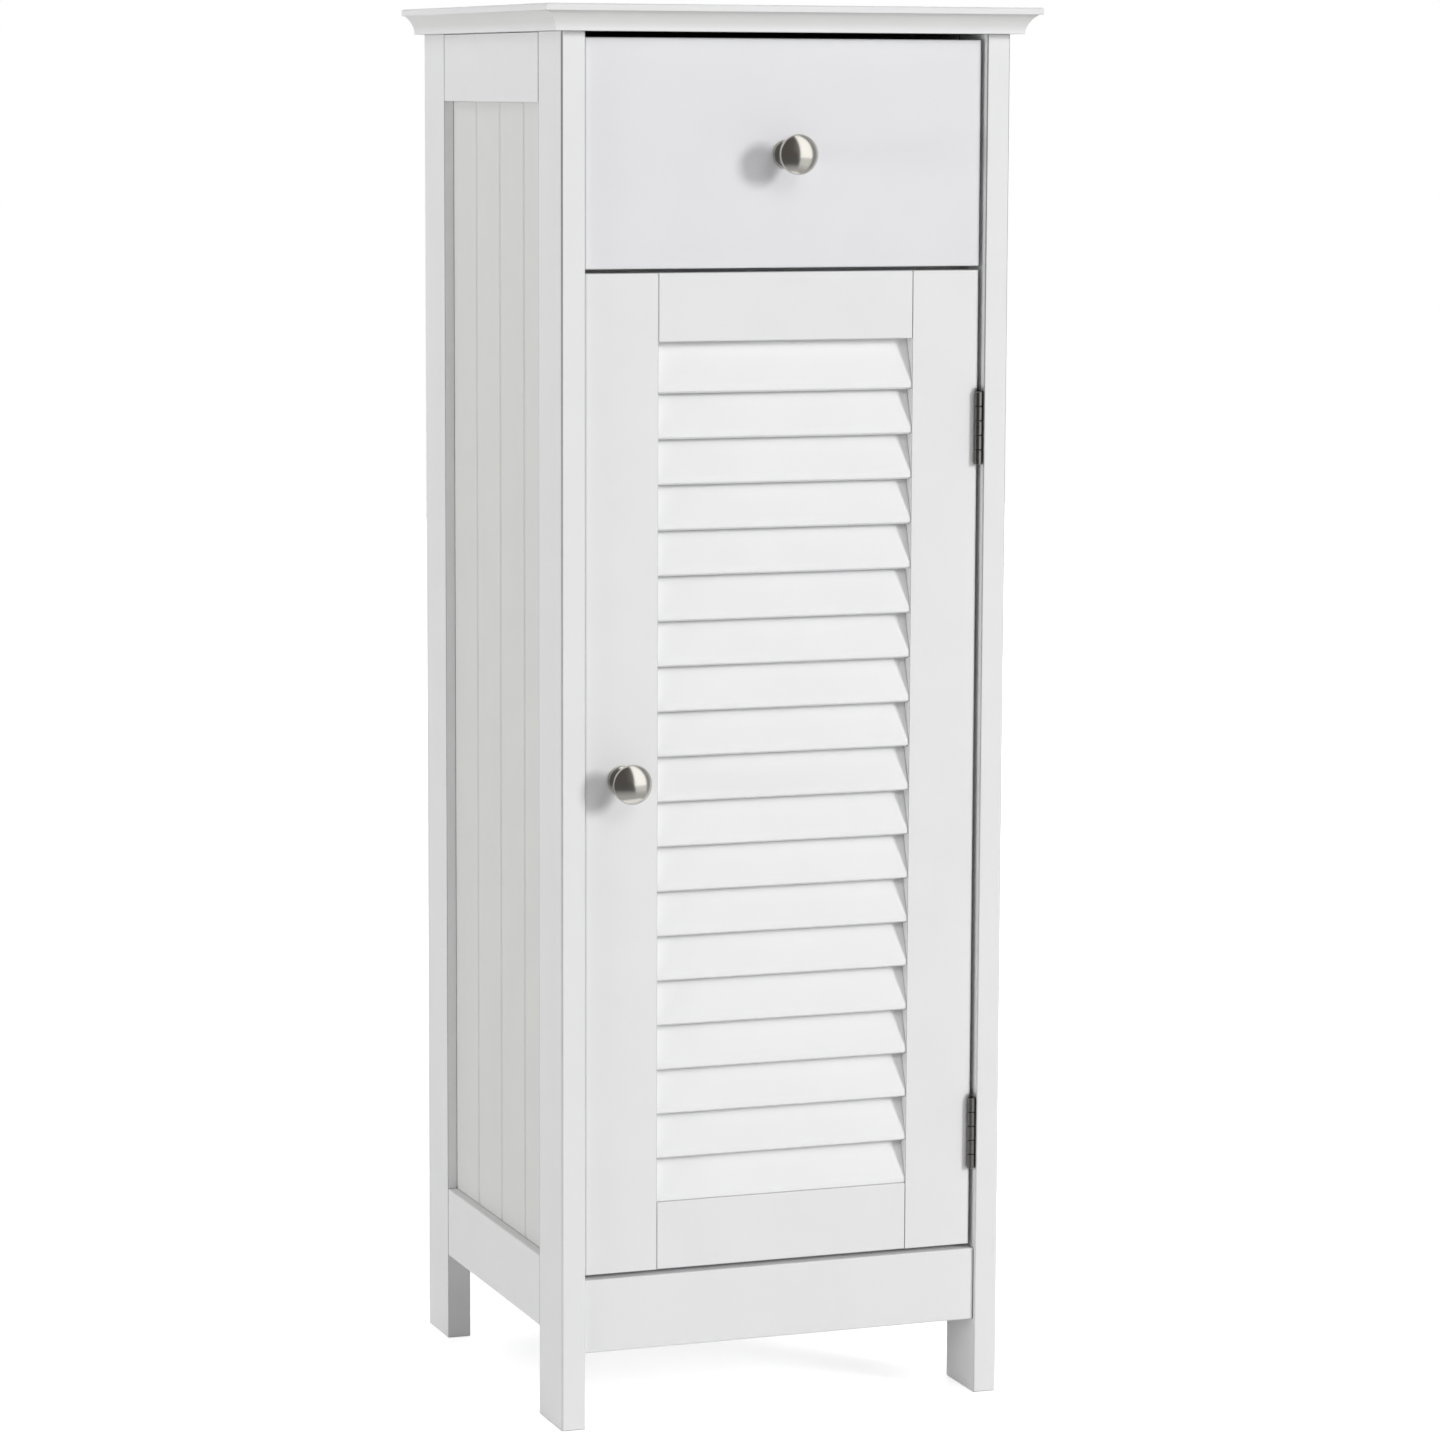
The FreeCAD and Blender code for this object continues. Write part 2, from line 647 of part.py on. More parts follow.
def slat_section(sketch, play="0"):
    """A slat seen from its end: a thin board whose front and back are cut plumb, its other
    two arrises bevelled, play added around it."""
    near, far_y, far_z = f"(-{play})", f"(slat_thick + {play})", f"(slat_chord + {play})"
    plumb_y, plumb_z = "slat_plumb / cos(slat_tilt)", "slat_plumb / sin(slat_tilt)"
    return draw(sketch, [
        (near, f"{near} + {plumb_z}"), (f"{near} + {plumb_y}", near),
        (f"{far_y} - slat_bevel", near), (far_y, f"{near} + slat_bevel"),
        (far_y, f"{far_z} - {plumb_z}"), (f"{far_y} - {plumb_y}", far_z),
        (f"{near} + slat_bevel", far_z), (near, f"{far_z} - slat_bevel"),
    ])


def make_stile(label, left):
    """A door stile. Its inner edge has one slanted housing for the end of each slat."""
    wide = "free_stile" if left else "hinge_stile"
    x = DOOR_LEFT if left else f"{LOUVRE_LEFT} + {LOUVRE_WIDTH}"
    body = board(label, wide, "board_thick", "door_height", x, FACE, "door_up")
    sketch = new_sketch(
        body, "YZ_Plane", wide if left else "0",
        tilt="slat_tilt", shift=(CORNER_Y, f"door_low_rail + {CORNER_Z}"),
    )
    housing = cut(body, slat_section(sketch, "housing_play"), "housing_deep", reverse=not left)
    repeat(body, housing, "Z_Axis", "slat_count", "slat_pitch")
    if left:
        hole = new_sketch(body, "XZ_Plane")
        circle(hole, "free_stile / 2", "door_knob_up - door_up", "knob_hole_r")
        cut(body, hole)
    outer_x = 0 if left else size(wide)
    soften(body, lambda e: along(e, Z) and lies(e, x=outer_x, y=0), "arris")
    nodes.append(body)


def make_door_rails():
    """The door's rails, glued between the stiles. The low rail's top edge is planed to the
    slope of the slat that stands on it."""
    top = board(
        "door_top_rail", LOUVRE_WIDTH, "board_thick", "door_top_rail",
        LOUVRE_LEFT, FACE, "door_up + door_height - door_top_rail",
    )
    low = board(
        "door_bottom_rail", LOUVRE_WIDTH, "board_thick", "door_low_rail", LOUVRE_LEFT, FACE, "door_up",
    )
    slope = new_sketch(low, "YZ_Plane")
    drop = "(board_thick - louvre_seat) * tan(slat_tilt)"
    draw(slope, [
        ("louvre_seat", "door_low_rail"), ("board_thick", f"door_low_rail - {drop}"),
        ("board_thick", "door_low_rail + 1"), ("louvre_seat", "door_low_rail + 1"),
    ])
    cut(low, slope)
    for rail in (top, low):
        soften(rail, lambda e: lies(e, y=0) and is_straight(e))
        nodes.append(rail)


def make_slat(number):
    """One slat of the louvre, its ends in the two stiles."""
    body = new_body(f"door_slat_{number + 1:02d}")
    pad(body, slat_section(new_sketch(body, "YZ_Plane")), f"{LOUVRE_WIDTH} + 2 * housing_deep")
    body.Placement = Placement(Vector(), Rotation(-X, 1))
    bind(body, **{"Placement.Rotation.Angle": "slat_tilt"})
    put(
        body, f"{LOUVRE_LEFT} - housing_deep", f"{FACE} + {CORNER_Y}",
        f"{LOUVRE_UP} + {CORNER_Z} + {number} * slat_pitch",
    )
    nodes.append(body)


def make_door():
    make_stile("door_left_stile", True)
    make_stile("door_right_stile", False)
    make_door_rails()
    for number in range(int(size("slat_count"))):
        make_slat(number)


# ---------------------------------------------------------------- hinges

KNUCKLE = "(hinge_high / knuckles)"


def make_leaf(name, leg_side):
    """One leaf of a butt hinge about the pin at the origin: a plate behind the pin and a
    barrel of knuckles. The leg's leaf has the odd knuckles, the door's leaf the even."""
    body = new_body(name)
    outer = "axis_in" if leg_side else "(axis_in - hinge_gap + leaf_thick)"
    plate = new_sketch(body, "XY_Plane")
    rectangle(plate, f"{outer} - leaf_thick", "0", "leaf_thick", "leaf_wide")
    pad(body, plate, "hinge_high")
    pad(body, circle(new_sketch(body, "XY_Plane"), "0", "0", "knuckle_r"), "hinge_high")
    cut(body, circle(new_sketch(body, "XY_Plane"), "0", "0", "pin_r + pin_play"))
    # A leaf is cut away where the other leaf's knuckles turn.
    first = "1" if leg_side else "0"
    count = "(knuckles - 1) / 2" if leg_side else "(knuckles + 1) / 2"
    clear_r = "(knuckle_r + knuckle_clear)"
    gap = new_sketch(body, "YZ_Plane")
    rectangle(
        gap, f"-{clear_r}", f"{first} * {KNUCKLE} - knuckle_play / 2",
        f"2 * {clear_r}", f"{KNUCKLE} + knuckle_play",
    )
    repeat(body, cut(body, gap), "Z_Axis", count, f"2 * {KNUCKLE}")
    doc.recompute()
    return body


def make_pin():
    """A hinge pin with a small head that rests on the barrel."""
    body = new_body("hinge_pin_pattern")
    pad(body, circle(new_sketch(body, "XY_Plane"), "0", "0", "pin_r"), "hinge_high")
    pad(body, circle(new_sketch(body, "XY_Plane", "hinge_high"), "0", "0", "pin_head_r"), "pin_head")
    doc.recompute()
    return body


def make_hinges():
    """Two butt hinges, a leaf on the leg and a leaf on the door's edge round each pin."""
    x, y = size(PIN_X), size(PIN_Y)
    heights = [size("lower_hinge_up"), size("upper_hinge_up")]
    places = [Placement(Vector(x, y, z), Rotation()) for z in heights]
    frame_leaf = make_leaf("hinge_frame_leaf_pattern", True)
    door_leaf = make_leaf("hinge_door_leaf_pattern", False)
    nodes.append(group("hinge_frame_leaves", copies(frame_leaf, places)))
    nodes.append(group("hinge_door_leaves", copies(door_leaf, places)))
    nodes.append(group("hinge_pins", copies(make_pin(), places)))


# ---------------------------------------------------------------- catch


def make_catch():
    """A magnetic catch screwed under the divider, and its strike plate on the door's back."""
    middle = f"({INNER_LEFT} + catch_from_side)"
    catch = board(
        "magnet_catch", "catch_wide", "catch_deep", "catch_high",
        f"{middle} - catch_wide / 2", f"{FACE_BACK} + strike_thick + strike_air",
        "divider_up - catch_high",
    )
    soften(catch, lambda e: along(e, Y) and lies(e, z=0))
    strike = board(
        "strike_plate", "strike_wide", "strike_thick", "strike_high",
        f"{middle} - strike_wide / 2", FACE_BACK, "divider_up - (catch_high + strike_high) / 2",
    )
    soften(strike, lambda e: along(e, Y), "strike_corner")
    nodes.extend([catch, strike])


# ---------------------------------------------------------------- build, check, write

make_top()
make_sides()
make_carcass()
make_shelf_pins()
make_runners()
make_drawer_front()
make_drawer_box()
make_knob("drawer_knob", "0", "drawer_knob_up")
make_door()
make_knob("door_knob", f"{DOOR_LEFT} + free_stile / 2", "door_knob_up")
make_hinges()
make_catch()
doc.recompute()

for item in doc.Objects:
    if "Invalid" in item.State or "Error" in item.State:
        raise RuntimeError(f"{item.Label} failed: {item.State}")
for body, feature in cuts:
    if feature.Shape.Volume >= feature.BaseFeature.Shape.Volume - 1e-3:
        raise RuntimeError(f"{feature.Name} in {body.Label} cuts nothing")
for node in nodes:
    if node.Shape.isNull() or not node.Shape.isValid():
        raise RuntimeError(f"{node.Label} has no valid shape")

for node in nodes:
    node.Shape.exportStep(f"parts/{node.Label}.step")
print(f"{len(nodes)} sub-parts written")
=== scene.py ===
import math

import bmesh
import bpy
from mathutils import Matrix, Vector


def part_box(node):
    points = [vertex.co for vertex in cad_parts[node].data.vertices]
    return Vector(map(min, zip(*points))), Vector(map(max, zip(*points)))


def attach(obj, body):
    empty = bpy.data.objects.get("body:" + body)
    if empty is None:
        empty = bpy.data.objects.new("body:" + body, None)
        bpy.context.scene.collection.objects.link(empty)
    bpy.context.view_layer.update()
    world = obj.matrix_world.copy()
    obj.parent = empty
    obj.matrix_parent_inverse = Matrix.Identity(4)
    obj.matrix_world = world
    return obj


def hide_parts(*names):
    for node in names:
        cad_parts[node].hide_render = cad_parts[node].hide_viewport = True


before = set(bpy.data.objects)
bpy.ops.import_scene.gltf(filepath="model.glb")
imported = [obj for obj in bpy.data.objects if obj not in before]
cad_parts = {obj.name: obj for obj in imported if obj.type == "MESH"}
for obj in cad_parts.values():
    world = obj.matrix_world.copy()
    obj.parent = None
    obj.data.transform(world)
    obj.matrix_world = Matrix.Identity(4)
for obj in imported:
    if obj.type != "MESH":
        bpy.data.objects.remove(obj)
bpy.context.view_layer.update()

# A slim louvred door cabinet. Metres, +Z up, the front faces -Y.

# ---------------------------------------------------------------- painted boards
# Legs, rails, apron, door frame, drawer front, shelf and inner panels are MDF boards of 12
# and 15 mm, sanded, primed and sprayed with a satin white lacquer, glued and dowelled.
# The boards keep the shape they were cut to; the lacquer is what is added here.

MM = 0.001
LACQUER_WHITE = "E9E9E9"
LACQUER_SHADE = "E5E5E6"
EDGE_AND_CORNER_SHADE = "ABABA8"
SIDE_FRAME_EDGE_SHADE = "7C7C79"
FRONT_EDGE_PAINTED_SHADE = "868683"
FRONT_EDGE_SHADE_REACH = 3.2 * MM
DRAWER_FRONT_WHITE = "E5E5E7"
DRAWER_FRONT_SHADE = "E1E1E4"
SPRAY_GRAIN = 1.8 * MM
SPRAY_DEPTH = 0.012 * MM
COAT_UNEVEN = 45 * MM
ARRIS = 0.75 * MM
CORNER_SHADE_REACH = 1.3 * MM
EDGE_SAMPLES = 8

PAINTED_BOARDS = (
    "front_apron", "rear_rail", "bottom_panel", "divider_panel", "shelf",
    "door_left_stile", "door_right_stile", "door_top_rail", "door_bottom_rail",
)
SIDE_FRAME_FRONTS = (
    "front_left_leg", "front_right_leg", "left_top_rail", "right_top_rail",
    "left_bottom_rail", "right_bottom_rail",
)


def linear(hex_colour):
    """A colour written as sRGB hex, as the linear RGBA that shaders and lamps take."""
    levels = [int(hex_colour[i:i + 2], 16) / 255 for i in (0, 2, 4)]
    return [v / 12.92 if v <= 0.04045 else ((v + 0.055) / 1.055) ** 2.4 for v in levels] + [1]


def add(tree, kind, sockets=None, **settings):
    """One node with its settings. sockets gives each input a value or the output it is
    linked to, by the input's name or number."""
    made = tree.nodes.new(kind)
    for name, value in settings.items():
        setattr(made, name, value)
    for name, value in (sockets or {}).items():
        if isinstance(value, bpy.types.NodeSocket):
            tree.links.new(value, made.inputs[name])
        else:
            made.inputs[name].default_value = value
    return made


def object_place(tree, scale=None):
    """The place on the object, as a vector. A scale stretches what is drawn with it."""
    place = add(tree, "ShaderNodeTexCoord").outputs["Object"]
    if scale:
        place = add(tree, "ShaderNodeMapping", {"Vector": place, "Scale": scale}).outputs["Vector"]
    return place


def split(tree, vector):
    """The X, Y and Z outputs of a vector."""
    return add(tree, "ShaderNodeSeparateXYZ", {"Vector": vector}).outputs


def noise(tree, place, grain, detail=2.0, **more):
    """Noise with grains of about this size."""
    sockets = {"Vector": place, "Scale": 1 / grain, "Detail": detail} | more
    return add(tree, "ShaderNodeTexNoise", sockets).outputs["Fac"]


def ramp(tree, value, start, end, low=0.0, high=1.0):
    """A value that goes from low to high while the given one goes from start to end."""
    return add(tree, "ShaderNodeMapRange", {
        "Value": value, "From Min": start, "From Max": end, "To Min": low, "To Max": high,
    }).outputs["Result"]


def calculate(tree, operation, *values):
    """The result of one sum with values or outputs."""
    sockets = dict(enumerate(values))
    return add(tree, "ShaderNodeMath", sockets, operation=operation).outputs["Value"]


def mix(tree, share, first, second):
    """A mix of two colours. Each is a hex text or an output."""
    first, second = (linear(c) if isinstance(c, str) else c for c in (first, second))
    sockets = {"Fac": share, "Color1": first, "Color2": second}
    return add(tree, "ShaderNodeMixRGB", sockets).outputs["Color"]


def relief(tree, height, depth, strength, **more):
    """The surface's normal with a relief of this depth on it."""
    sockets = {"Height": height, "Distance": depth, "Strength": strength} | more
    return add(tree, "ShaderNodeBump", sockets).outputs["Normal"]


def new_material(name):
    """An empty material and its tree."""
    material = bpy.data.materials.new(name)
    material.use_nodes = True
    material.node_tree.nodes.clear()
    return material, material.node_tree


def finish_material(material, surface):
    """Puts a shader's output on the material and returns the material."""
    add(material.node_tree, "ShaderNodeOutputMaterial", {"Surface": surface})
    return material


def finish_solid(material, sockets):
    """Finishes a material with one principled shader, given its inputs."""
    shader = add(material.node_tree, "ShaderNodeBsdfPrincipled", sockets)
    return finish_material(material, shader.outputs["BSDF"])


def painted_front_edge_shade(tree, place, normal):
    """1 on the narrow strip of a side face where it turns to the front, for a painted shade
    line there. The painted shade is strongest near the top."""
    wide_edges = add(tree, "ShaderNodeBevel", {"Radius": FRONT_EDGE_SHADE_REACH}, samples=EDGE_SAMPLES)
    strip = ramp(tree, split(tree, wide_edges.outputs["Normal"])["Y"], -0.06, -0.42)
    sideways = calculate(tree, "ABSOLUTE", split(tree, normal)["X"])
    on_side = calculate(tree, "GREATER_THAN", sideways, 0.5)
    # Painted shade: stronger towards the top.
    run = ramp(tree, split(tree, place)["Z"], 0.1, 0.8, low=0.2)
    return calculate(tree, "MULTIPLY", calculate(tree, "MULTIPLY", strip, on_side), run)


def satin_lacquer(name, light, dark, thin, below=None, shaded_front_edge=False):
    """Satin lacquer on MDF: an even, nearly neutral white with a low soft sheen. Spraying
    leaves a faint orange peel, drawn a little coarse so that it shows. The coat softens every
    arris. Arrises and tight corners take a painted shade in the colour thin, so joints show as
    fine grey lines. Faces that look down take a painted shade in the colour below, else dark,
    and side faces can take a painted shade line where they turn to the front."""
    material, tree = new_material(name)
    place = object_place(tree)
    normal = add(tree, "ShaderNodeNewGeometry").outputs["Normal"]
    uneven = noise(tree, place, COAT_UNEVEN, 3.0)
    # Painted shade: faces that look down get below, or dark, instead of the uneven mix.
    looks_down = ramp(tree, split(tree, normal)["Z"], -0.1, -0.4)
    full = mix(tree, looks_down, mix(tree, uneven, light, dark), below or dark)

    # Painted shade: arrises, where the softened normal turns from the face, and tight corners,
    # where the occlusion closes, get the colour thin.
    bevel = add(tree, "ShaderNodeBevel", {"Radius": ARRIS}, samples=EDGE_SAMPLES)
    soft_edges = bevel.outputs["Normal"]
    turn = add(tree, "ShaderNodeVectorMath", {0: soft_edges, 1: normal}, operation="DOT_PRODUCT")
    arris = ramp(tree, turn.outputs["Value"], 0.995, 0.9)
    open_sky = add(
        tree, "ShaderNodeAmbientOcclusion", {"Distance": CORNER_SHADE_REACH}, samples=EDGE_SAMPLES)
    corner = ramp(tree, open_sky.outputs["AO"], 0.75, 0.4)
    colour = mix(tree, calculate(tree, "MAXIMUM", arris, corner), full, thin)
    # Painted shade line where side faces turn to the front.
    if shaded_front_edge:
        colour = mix(tree, painted_front_edge_shade(tree, place, normal), colour, FRONT_EDGE_PAINTED_SHADE)

    peel = noise(tree, place, SPRAY_GRAIN)
    return finish_solid(material, {
        "Base Color": colour, "Roughness": ramp(tree, uneven, 0.3, 0.7, 0.6, 0.68), "IOR": 1.5,
        "Normal": relief(tree, peel, SPRAY_DEPTH, 0.5, Normal=soft_edges),
    })


def dress(material, *nodes):
    """Puts a material on nodes of the frame."""
    for node in nodes:
        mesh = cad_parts[node].data
        mesh.materials.clear()
        mesh.materials.append(material)


dress(
    satin_lacquer("satin white lacquer on MDF", LACQUER_WHITE, LACQUER_SHADE, EDGE_AND_CORNER_SHADE),
    *PAINTED_BOARDS)
# The side frames take a darker painted shade on their arrises and in their corners.
dress(
    satin_lacquer(
        "satin white lacquer on the side frames", LACQUER_WHITE, LACQUER_SHADE, SIDE_FRAME_EDGE_SHADE),
    "rear_left_leg", "rear_right_leg")
# Where they turn to the front they also get a painted shade line, strongest near the top.
dress(
    satin_lacquer(
        "satin white lacquer on the front of the side frames",
        LACQUER_WHITE, LACQUER_SHADE, SIDE_FRAME_EDGE_SHADE, shaded_front_edge=True),
    *SIDE_FRAME_FRONTS)
# The drawer front's white is a trace cooler and greyer than the other boards'.
dress(
    satin_lacquer(
        "satin white lacquer on the drawer front", DRAWER_FRONT_WHITE, DRAWER_FRONT_SHADE, EDGE_AND_CORNER_SHADE),
    "drawer_front")

# ---------------------------------------------------------------- side panels
# Thin beaded MDF panels, loose in the grooves of legs and rails. They are sprayed flat before
# the frame closes round them, and get one coat less, so they stay a little greyer.

PANEL_WHITE = "DEDEDB"
PANEL_SHADE = "DADAD8"

dress(
    satin_lacquer(
        "thin white lacquer on the beaded panels", PANEL_WHITE, PANEL_SHADE, EDGE_AND_CORNER_SHADE),
    "left_side_panel", "right_side_panel")

# ---------------------------------------------------------------- moulded top
# One 16 mm board. A cutter has run a hollow along its lower edge at the front and both
# sides, below a square lip with a softened upper arris; the back edge is plain.

LIP_HIGH = 4.3 * MM
LIP_ROUND = 1.5 * MM
LIP_UNDER = 0.35 * MM
LIP_STEP = 2 * MM
COVE_IN = 8.6 * MM
COVE_FOOT = 1.3 * MM
COVE_BOW = 1.32 * MM
COVE_STEPS = 14
TOP_UNDERSIDE_SHADE = "DCDCDB"
TOP_EDGE_SHADE = "E6E6E5"
CREASE = math.radians(32)


def smooth_shade(mesh):
    """Smooth faces, with sharp edges where the surface turns by more than the crease."""
    mesh.shade_smooth()
    mesh.set_sharp_from_angle(angle=CREASE)


def form_mesh(name, form):
    """A finished form as a mesh."""
    mesh = bpy.data.meshes.new(name)
    form.to_mesh(mesh)
    form.free()
    smooth_shade(mesh)
    return mesh


def add_piece(name, mesh, material, body):
    """An object for a finished mesh, with its material, riding on a body."""
    piece = bpy.data.objects.new(name, mesh)
    bpy.context.scene.collection.objects.link(piece)
    mesh.materials.clear()
    mesh.materials.append(material)
    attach(piece, body)
    return piece


def arc_through(start, middle, end, steps):
    """Points on the arc from start through middle to end, the start left out."""
    (ax, ay), (bx, by), (cx, cy) = start, middle, end
    d = 2 * (ax * (by - cy) + bx * (cy - ay) + cx * (ay - by))
    a2, b2, c2 = ax * ax + ay * ay, bx * bx + by * by, cx * cx + cy * cy
    ux = (a2 * (by - cy) + b2 * (cy - ay) + c2 * (ay - by)) / d
    uy = (a2 * (cx - bx) + b2 * (ax - cx) + c2 * (bx - ax)) / d
    first = math.atan2(ay - uy, ax - ux)
    through = (math.atan2(by - uy, bx - ux) - first) % math.tau
    sweep = (math.atan2(cy - uy, cx - ux) - first) % math.tau
    if through > sweep:
        sweep -= math.tau
    radius = math.hypot(ax - ux, ay - uy)
    turns = [first + sweep * (i + 1) / steps for i in range(steps)]
    return [(ux + radius * math.cos(t), uy + radius * math.sin(t)) for t in turns]


def quarter(start, corner, end, steps):
    """Points of a quarter round that takes off a square corner."""
    middle = [c + (s + e - 2 * c) * (1 - math.sqrt(0.5)) for s, c, e in zip(start, corner, end)]
    return arc_through(start, middle, end, steps)


def top_profile(thick):
    """The moulded edge from below, as (inset, height): the hollow, the step and the lip."""
    under_lip = thick - LIP_HIGH
    foot, crown = (COVE_IN, COVE_FOOT), (LIP_STEP, under_lip)
    run, rise = crown[0] - foot[0], crown[1] - foot[1]
    length = math.hypot(run, rise)
    deepest = (
        (foot[0] + crown[0]) / 2 + COVE_BOW * rise / length,
        (foot[1] + crown[1]) / 2 - COVE_BOW * run / length,
    )
    line = [(COVE_IN, 0), foot]
    line += arc_through(foot, deepest, crown, COVE_STEPS)
    line.append((LIP_UNDER, under_lip))
    line += quarter(line[-1], (0, under_lip), (0, under_lip + LIP_UNDER), 3)
    line.append((0, thick - LIP_ROUND))
    line += quarter(line[-1], (0, thick), (LIP_ROUND, thick), 8)
    return line


def moulded_top():
    """The top board as rings of four corners, one for each point of the profile. Only the
    lip's round upper arris runs round the back too."""
    low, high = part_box("top_panel")
    form = bmesh.new()
    rings = []
    for side, up in top_profile(high.z - low.z):
        rounded = up > high.z - low.z - LIP_ROUND
        back = side if rounded else 0
        corners = (
            (low.x + side, low.y + side), (high.x - side, low.y + side),
            (high.x - side, high.y - back), (low.x + side, high.y - back),
        )
        rings.append([form.verts.new((x, y, low.z + up)) for x, y in corners])
    for ring, above in zip(rings, rings[1:]):
        for i in range(4):
            j = (i + 1) % 4
            form.faces.new((ring[i], ring[j], above[j], above[i]))
    form.faces.new(reversed(rings[0]))
    form.faces.new(rings[-1])
    return form_mesh("moulded_top", form)


# The moulded board's faces that look down, the hollow among them, take a darker painted shade, and
# its arrises and corners a lighter painted shade than on the other boards.
edge_coat = satin_lacquer(
    "satin white lacquer on the moulded board",
    LACQUER_WHITE, LACQUER_SHADE, TOP_EDGE_SHADE, below=TOP_UNDERSIDE_SHADE)
top = add_piece("moulded_top", moulded_top(), edge_coat, "cabinet")
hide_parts("top_panel")

# ---------------------------------------------------------------- hardboard
# The back panel and the drawer's bottom are 3 mm hardboard, pressed wood fibre with a white
# foil on the face that shows from inside. The other face and the edges are bare and brown.

FIBRE = 1.2 * MM
FIBRE_PATCH = 6 * MM
FIBRE_DEPTH = 0.03 * MM
BOARD_BROWN = "7A5638"
BOARD_DARK = "5B3D26"
BOARD_FOIL = "E6E6E3"


def faced_hardboard():
    """Hardboard: brown pressed fibre with short dark flecks and a smooth, dull skin, and a
    white foil on its inner or upper face."""
    material, tree = new_material("white-faced hardboard")
    coordinates = add(tree, "ShaderNodeTexCoord")
    place, normal = coordinates.outputs["Object"], coordinates.outputs["Normal"]
    fibres = noise(tree, place, FIBRE, 6.0, Roughness=0.7, Distortion=1.5)
    patches = noise(tree, place, FIBRE_PATCH, 4.0)
    mottle = ramp(tree, calculate(tree, "MULTIPLY", fibres, patches), 0.0, 0.5)
    brown = mix(tree, mottle, BOARD_DARK, BOARD_BROWN)
    # The foiled face looks forward on the back panel and up on the drawer's bottom.
    facing = add(
        tree, "ShaderNodeVectorMath", {0: normal, 1: (0, -1, 1)}, operation="DOT_PRODUCT")
    foiled = calculate(tree, "GREATER_THAN", facing.outputs["Value"], 0.7)
    return finish_solid(material, {
        "Base Color": mix(tree, foiled, brown, BOARD_FOIL), "Roughness": 0.55, "IOR": 1.5,
        "Normal": relief(tree, fibres, FIBRE_DEPTH, 0.4),
    })


dress(faced_hardboard(), "back_panel", "drawer_bottom")

# ---------------------------------------------------------------- drawer box and runners
# The box behind the drawer front is 12 mm MDF wrapped in white foil, with a fine pressed
# grain. It slides on two planed beech strips that are screwed to the legs.

FOIL_GRAIN = 0.8 * MM
FOIL_DEPTH = 0.02 * MM
FOIL_WHITE = "E9E9E6"
FOIL_SHADE = "E1E1DD"
BEECH_RING = 3.5 * MM
BEECH_FLECK = 0.7 * MM
BEECH_PORE = 0.05 * MM
BEECH_LIGHT = "D3A878"
BEECH_DARK = "B98757"
BEECH_RAY = "8F6238"


def white_foil():
    """White foil: a smooth plastic film with a faint pressed wood grain that runs front to
    back, a little glossier than the lacquer."""
    material, tree = new_material("white foil on MDF")
    grain = noise(tree, object_place(tree, (1, 0.06, 1)), FOIL_GRAIN, 3.0)
    return finish_solid(material, {
        "Base Color": mix(tree, grain, FOIL_WHITE, FOIL_SHADE), "Roughness": 0.34, "IOR": 1.46,
        "Normal": relief(tree, grain, FOIL_DEPTH, 0.5),
    })


def planed_beech():
    """Planed beech, oiled: pinkish tan with growth rings along the strip, short dark rays
    and open fine pores."""
    material, tree = new_material("planed beech")
    rings = noise(tree, object_place(tree, (1, 0.05, 1)), BEECH_RING, 4.0, Distortion=0.6)
    flecks = noise(tree, object_place(tree, (1, 0.25, 1)), BEECH_FLECK)
    dark_flecks = ramp(tree, flecks, 0.6, 0.7, high=0.5)
    wood = mix(tree, rings, BEECH_LIGHT, BEECH_DARK)
    return finish_solid(material, {
        "Base Color": mix(tree, dark_flecks, wood, BEECH_RAY), "Roughness": 0.5, "IOR": 1.5,
        "Normal": relief(tree, flecks, BEECH_PORE, 0.4),
    })


dress(white_foil(), "drawer_left_side", "drawer_right_side", "drawer_back")
dress(planed_beech(), "left_drawer_runner", "right_drawer_runner")

# ---------------------------------------------------------------- louvre slats
# Nineteen thin MDF slats, their front and back edges planed upright, sprayed before they
# are glued into slanted housings in the stiles. They don't move.

SLAT_THICK = 5.5 * MM
SLAT_CHORD = 31.5 * MM
SLAT_TILT = math.radians(19)
PLUMB_CUT = 1.05 * MM
SLAT_ROUND = 0.45 * MM
# Painted light: the slats' whites are lighter than the boards' lacquer, for the light their
# up-tilted faces catch.
SLAT_PAINTED_LIGHT_WHITE = "F1F1F1"
SLAT_PAINTED_LIGHT_SHADE = "EEEEEF"
SLAT_EDGE_SHADE = "E4E4E4"


def new_geometry_tree(name, sizes):
    """A geometry tree with named size inputs, a finish input and one geometry output."""
    tree = bpy.data.node_groups.new(name, "GeometryNodeTree")
    sockets = [("Geometry", "NodeSocketGeometry"), *sizes, ("Finish", "NodeSocketMaterial")]
    for label, kind in sockets:
        tree.interface.new_socket(label, in_out="INPUT", socket_type=kind)
    tree.interface.new_socket("Geometry", in_out="OUTPUT", socket_type="NodeSocketGeometry")
    return tree


def end_geometry_tree(tree, instances, finish):
    """Makes the instances real, gives them their material and joins them to the output."""
    real = add(tree, "GeometryNodeRealizeInstances", {"Geometry": instances})
    painted = add(tree, "GeometryNodeSetMaterial", {
        "Geometry": real.outputs["Geometry"], "Material": finish,
    })
    add(tree, "NodeGroupOutput", {"Geometry": painted.outputs["Geometry"]})


def halfway(tree, length, sign):
    """Half a length, up or down from the middle."""
    return calculate(tree, "MULTIPLY", length, 0.5 * sign)


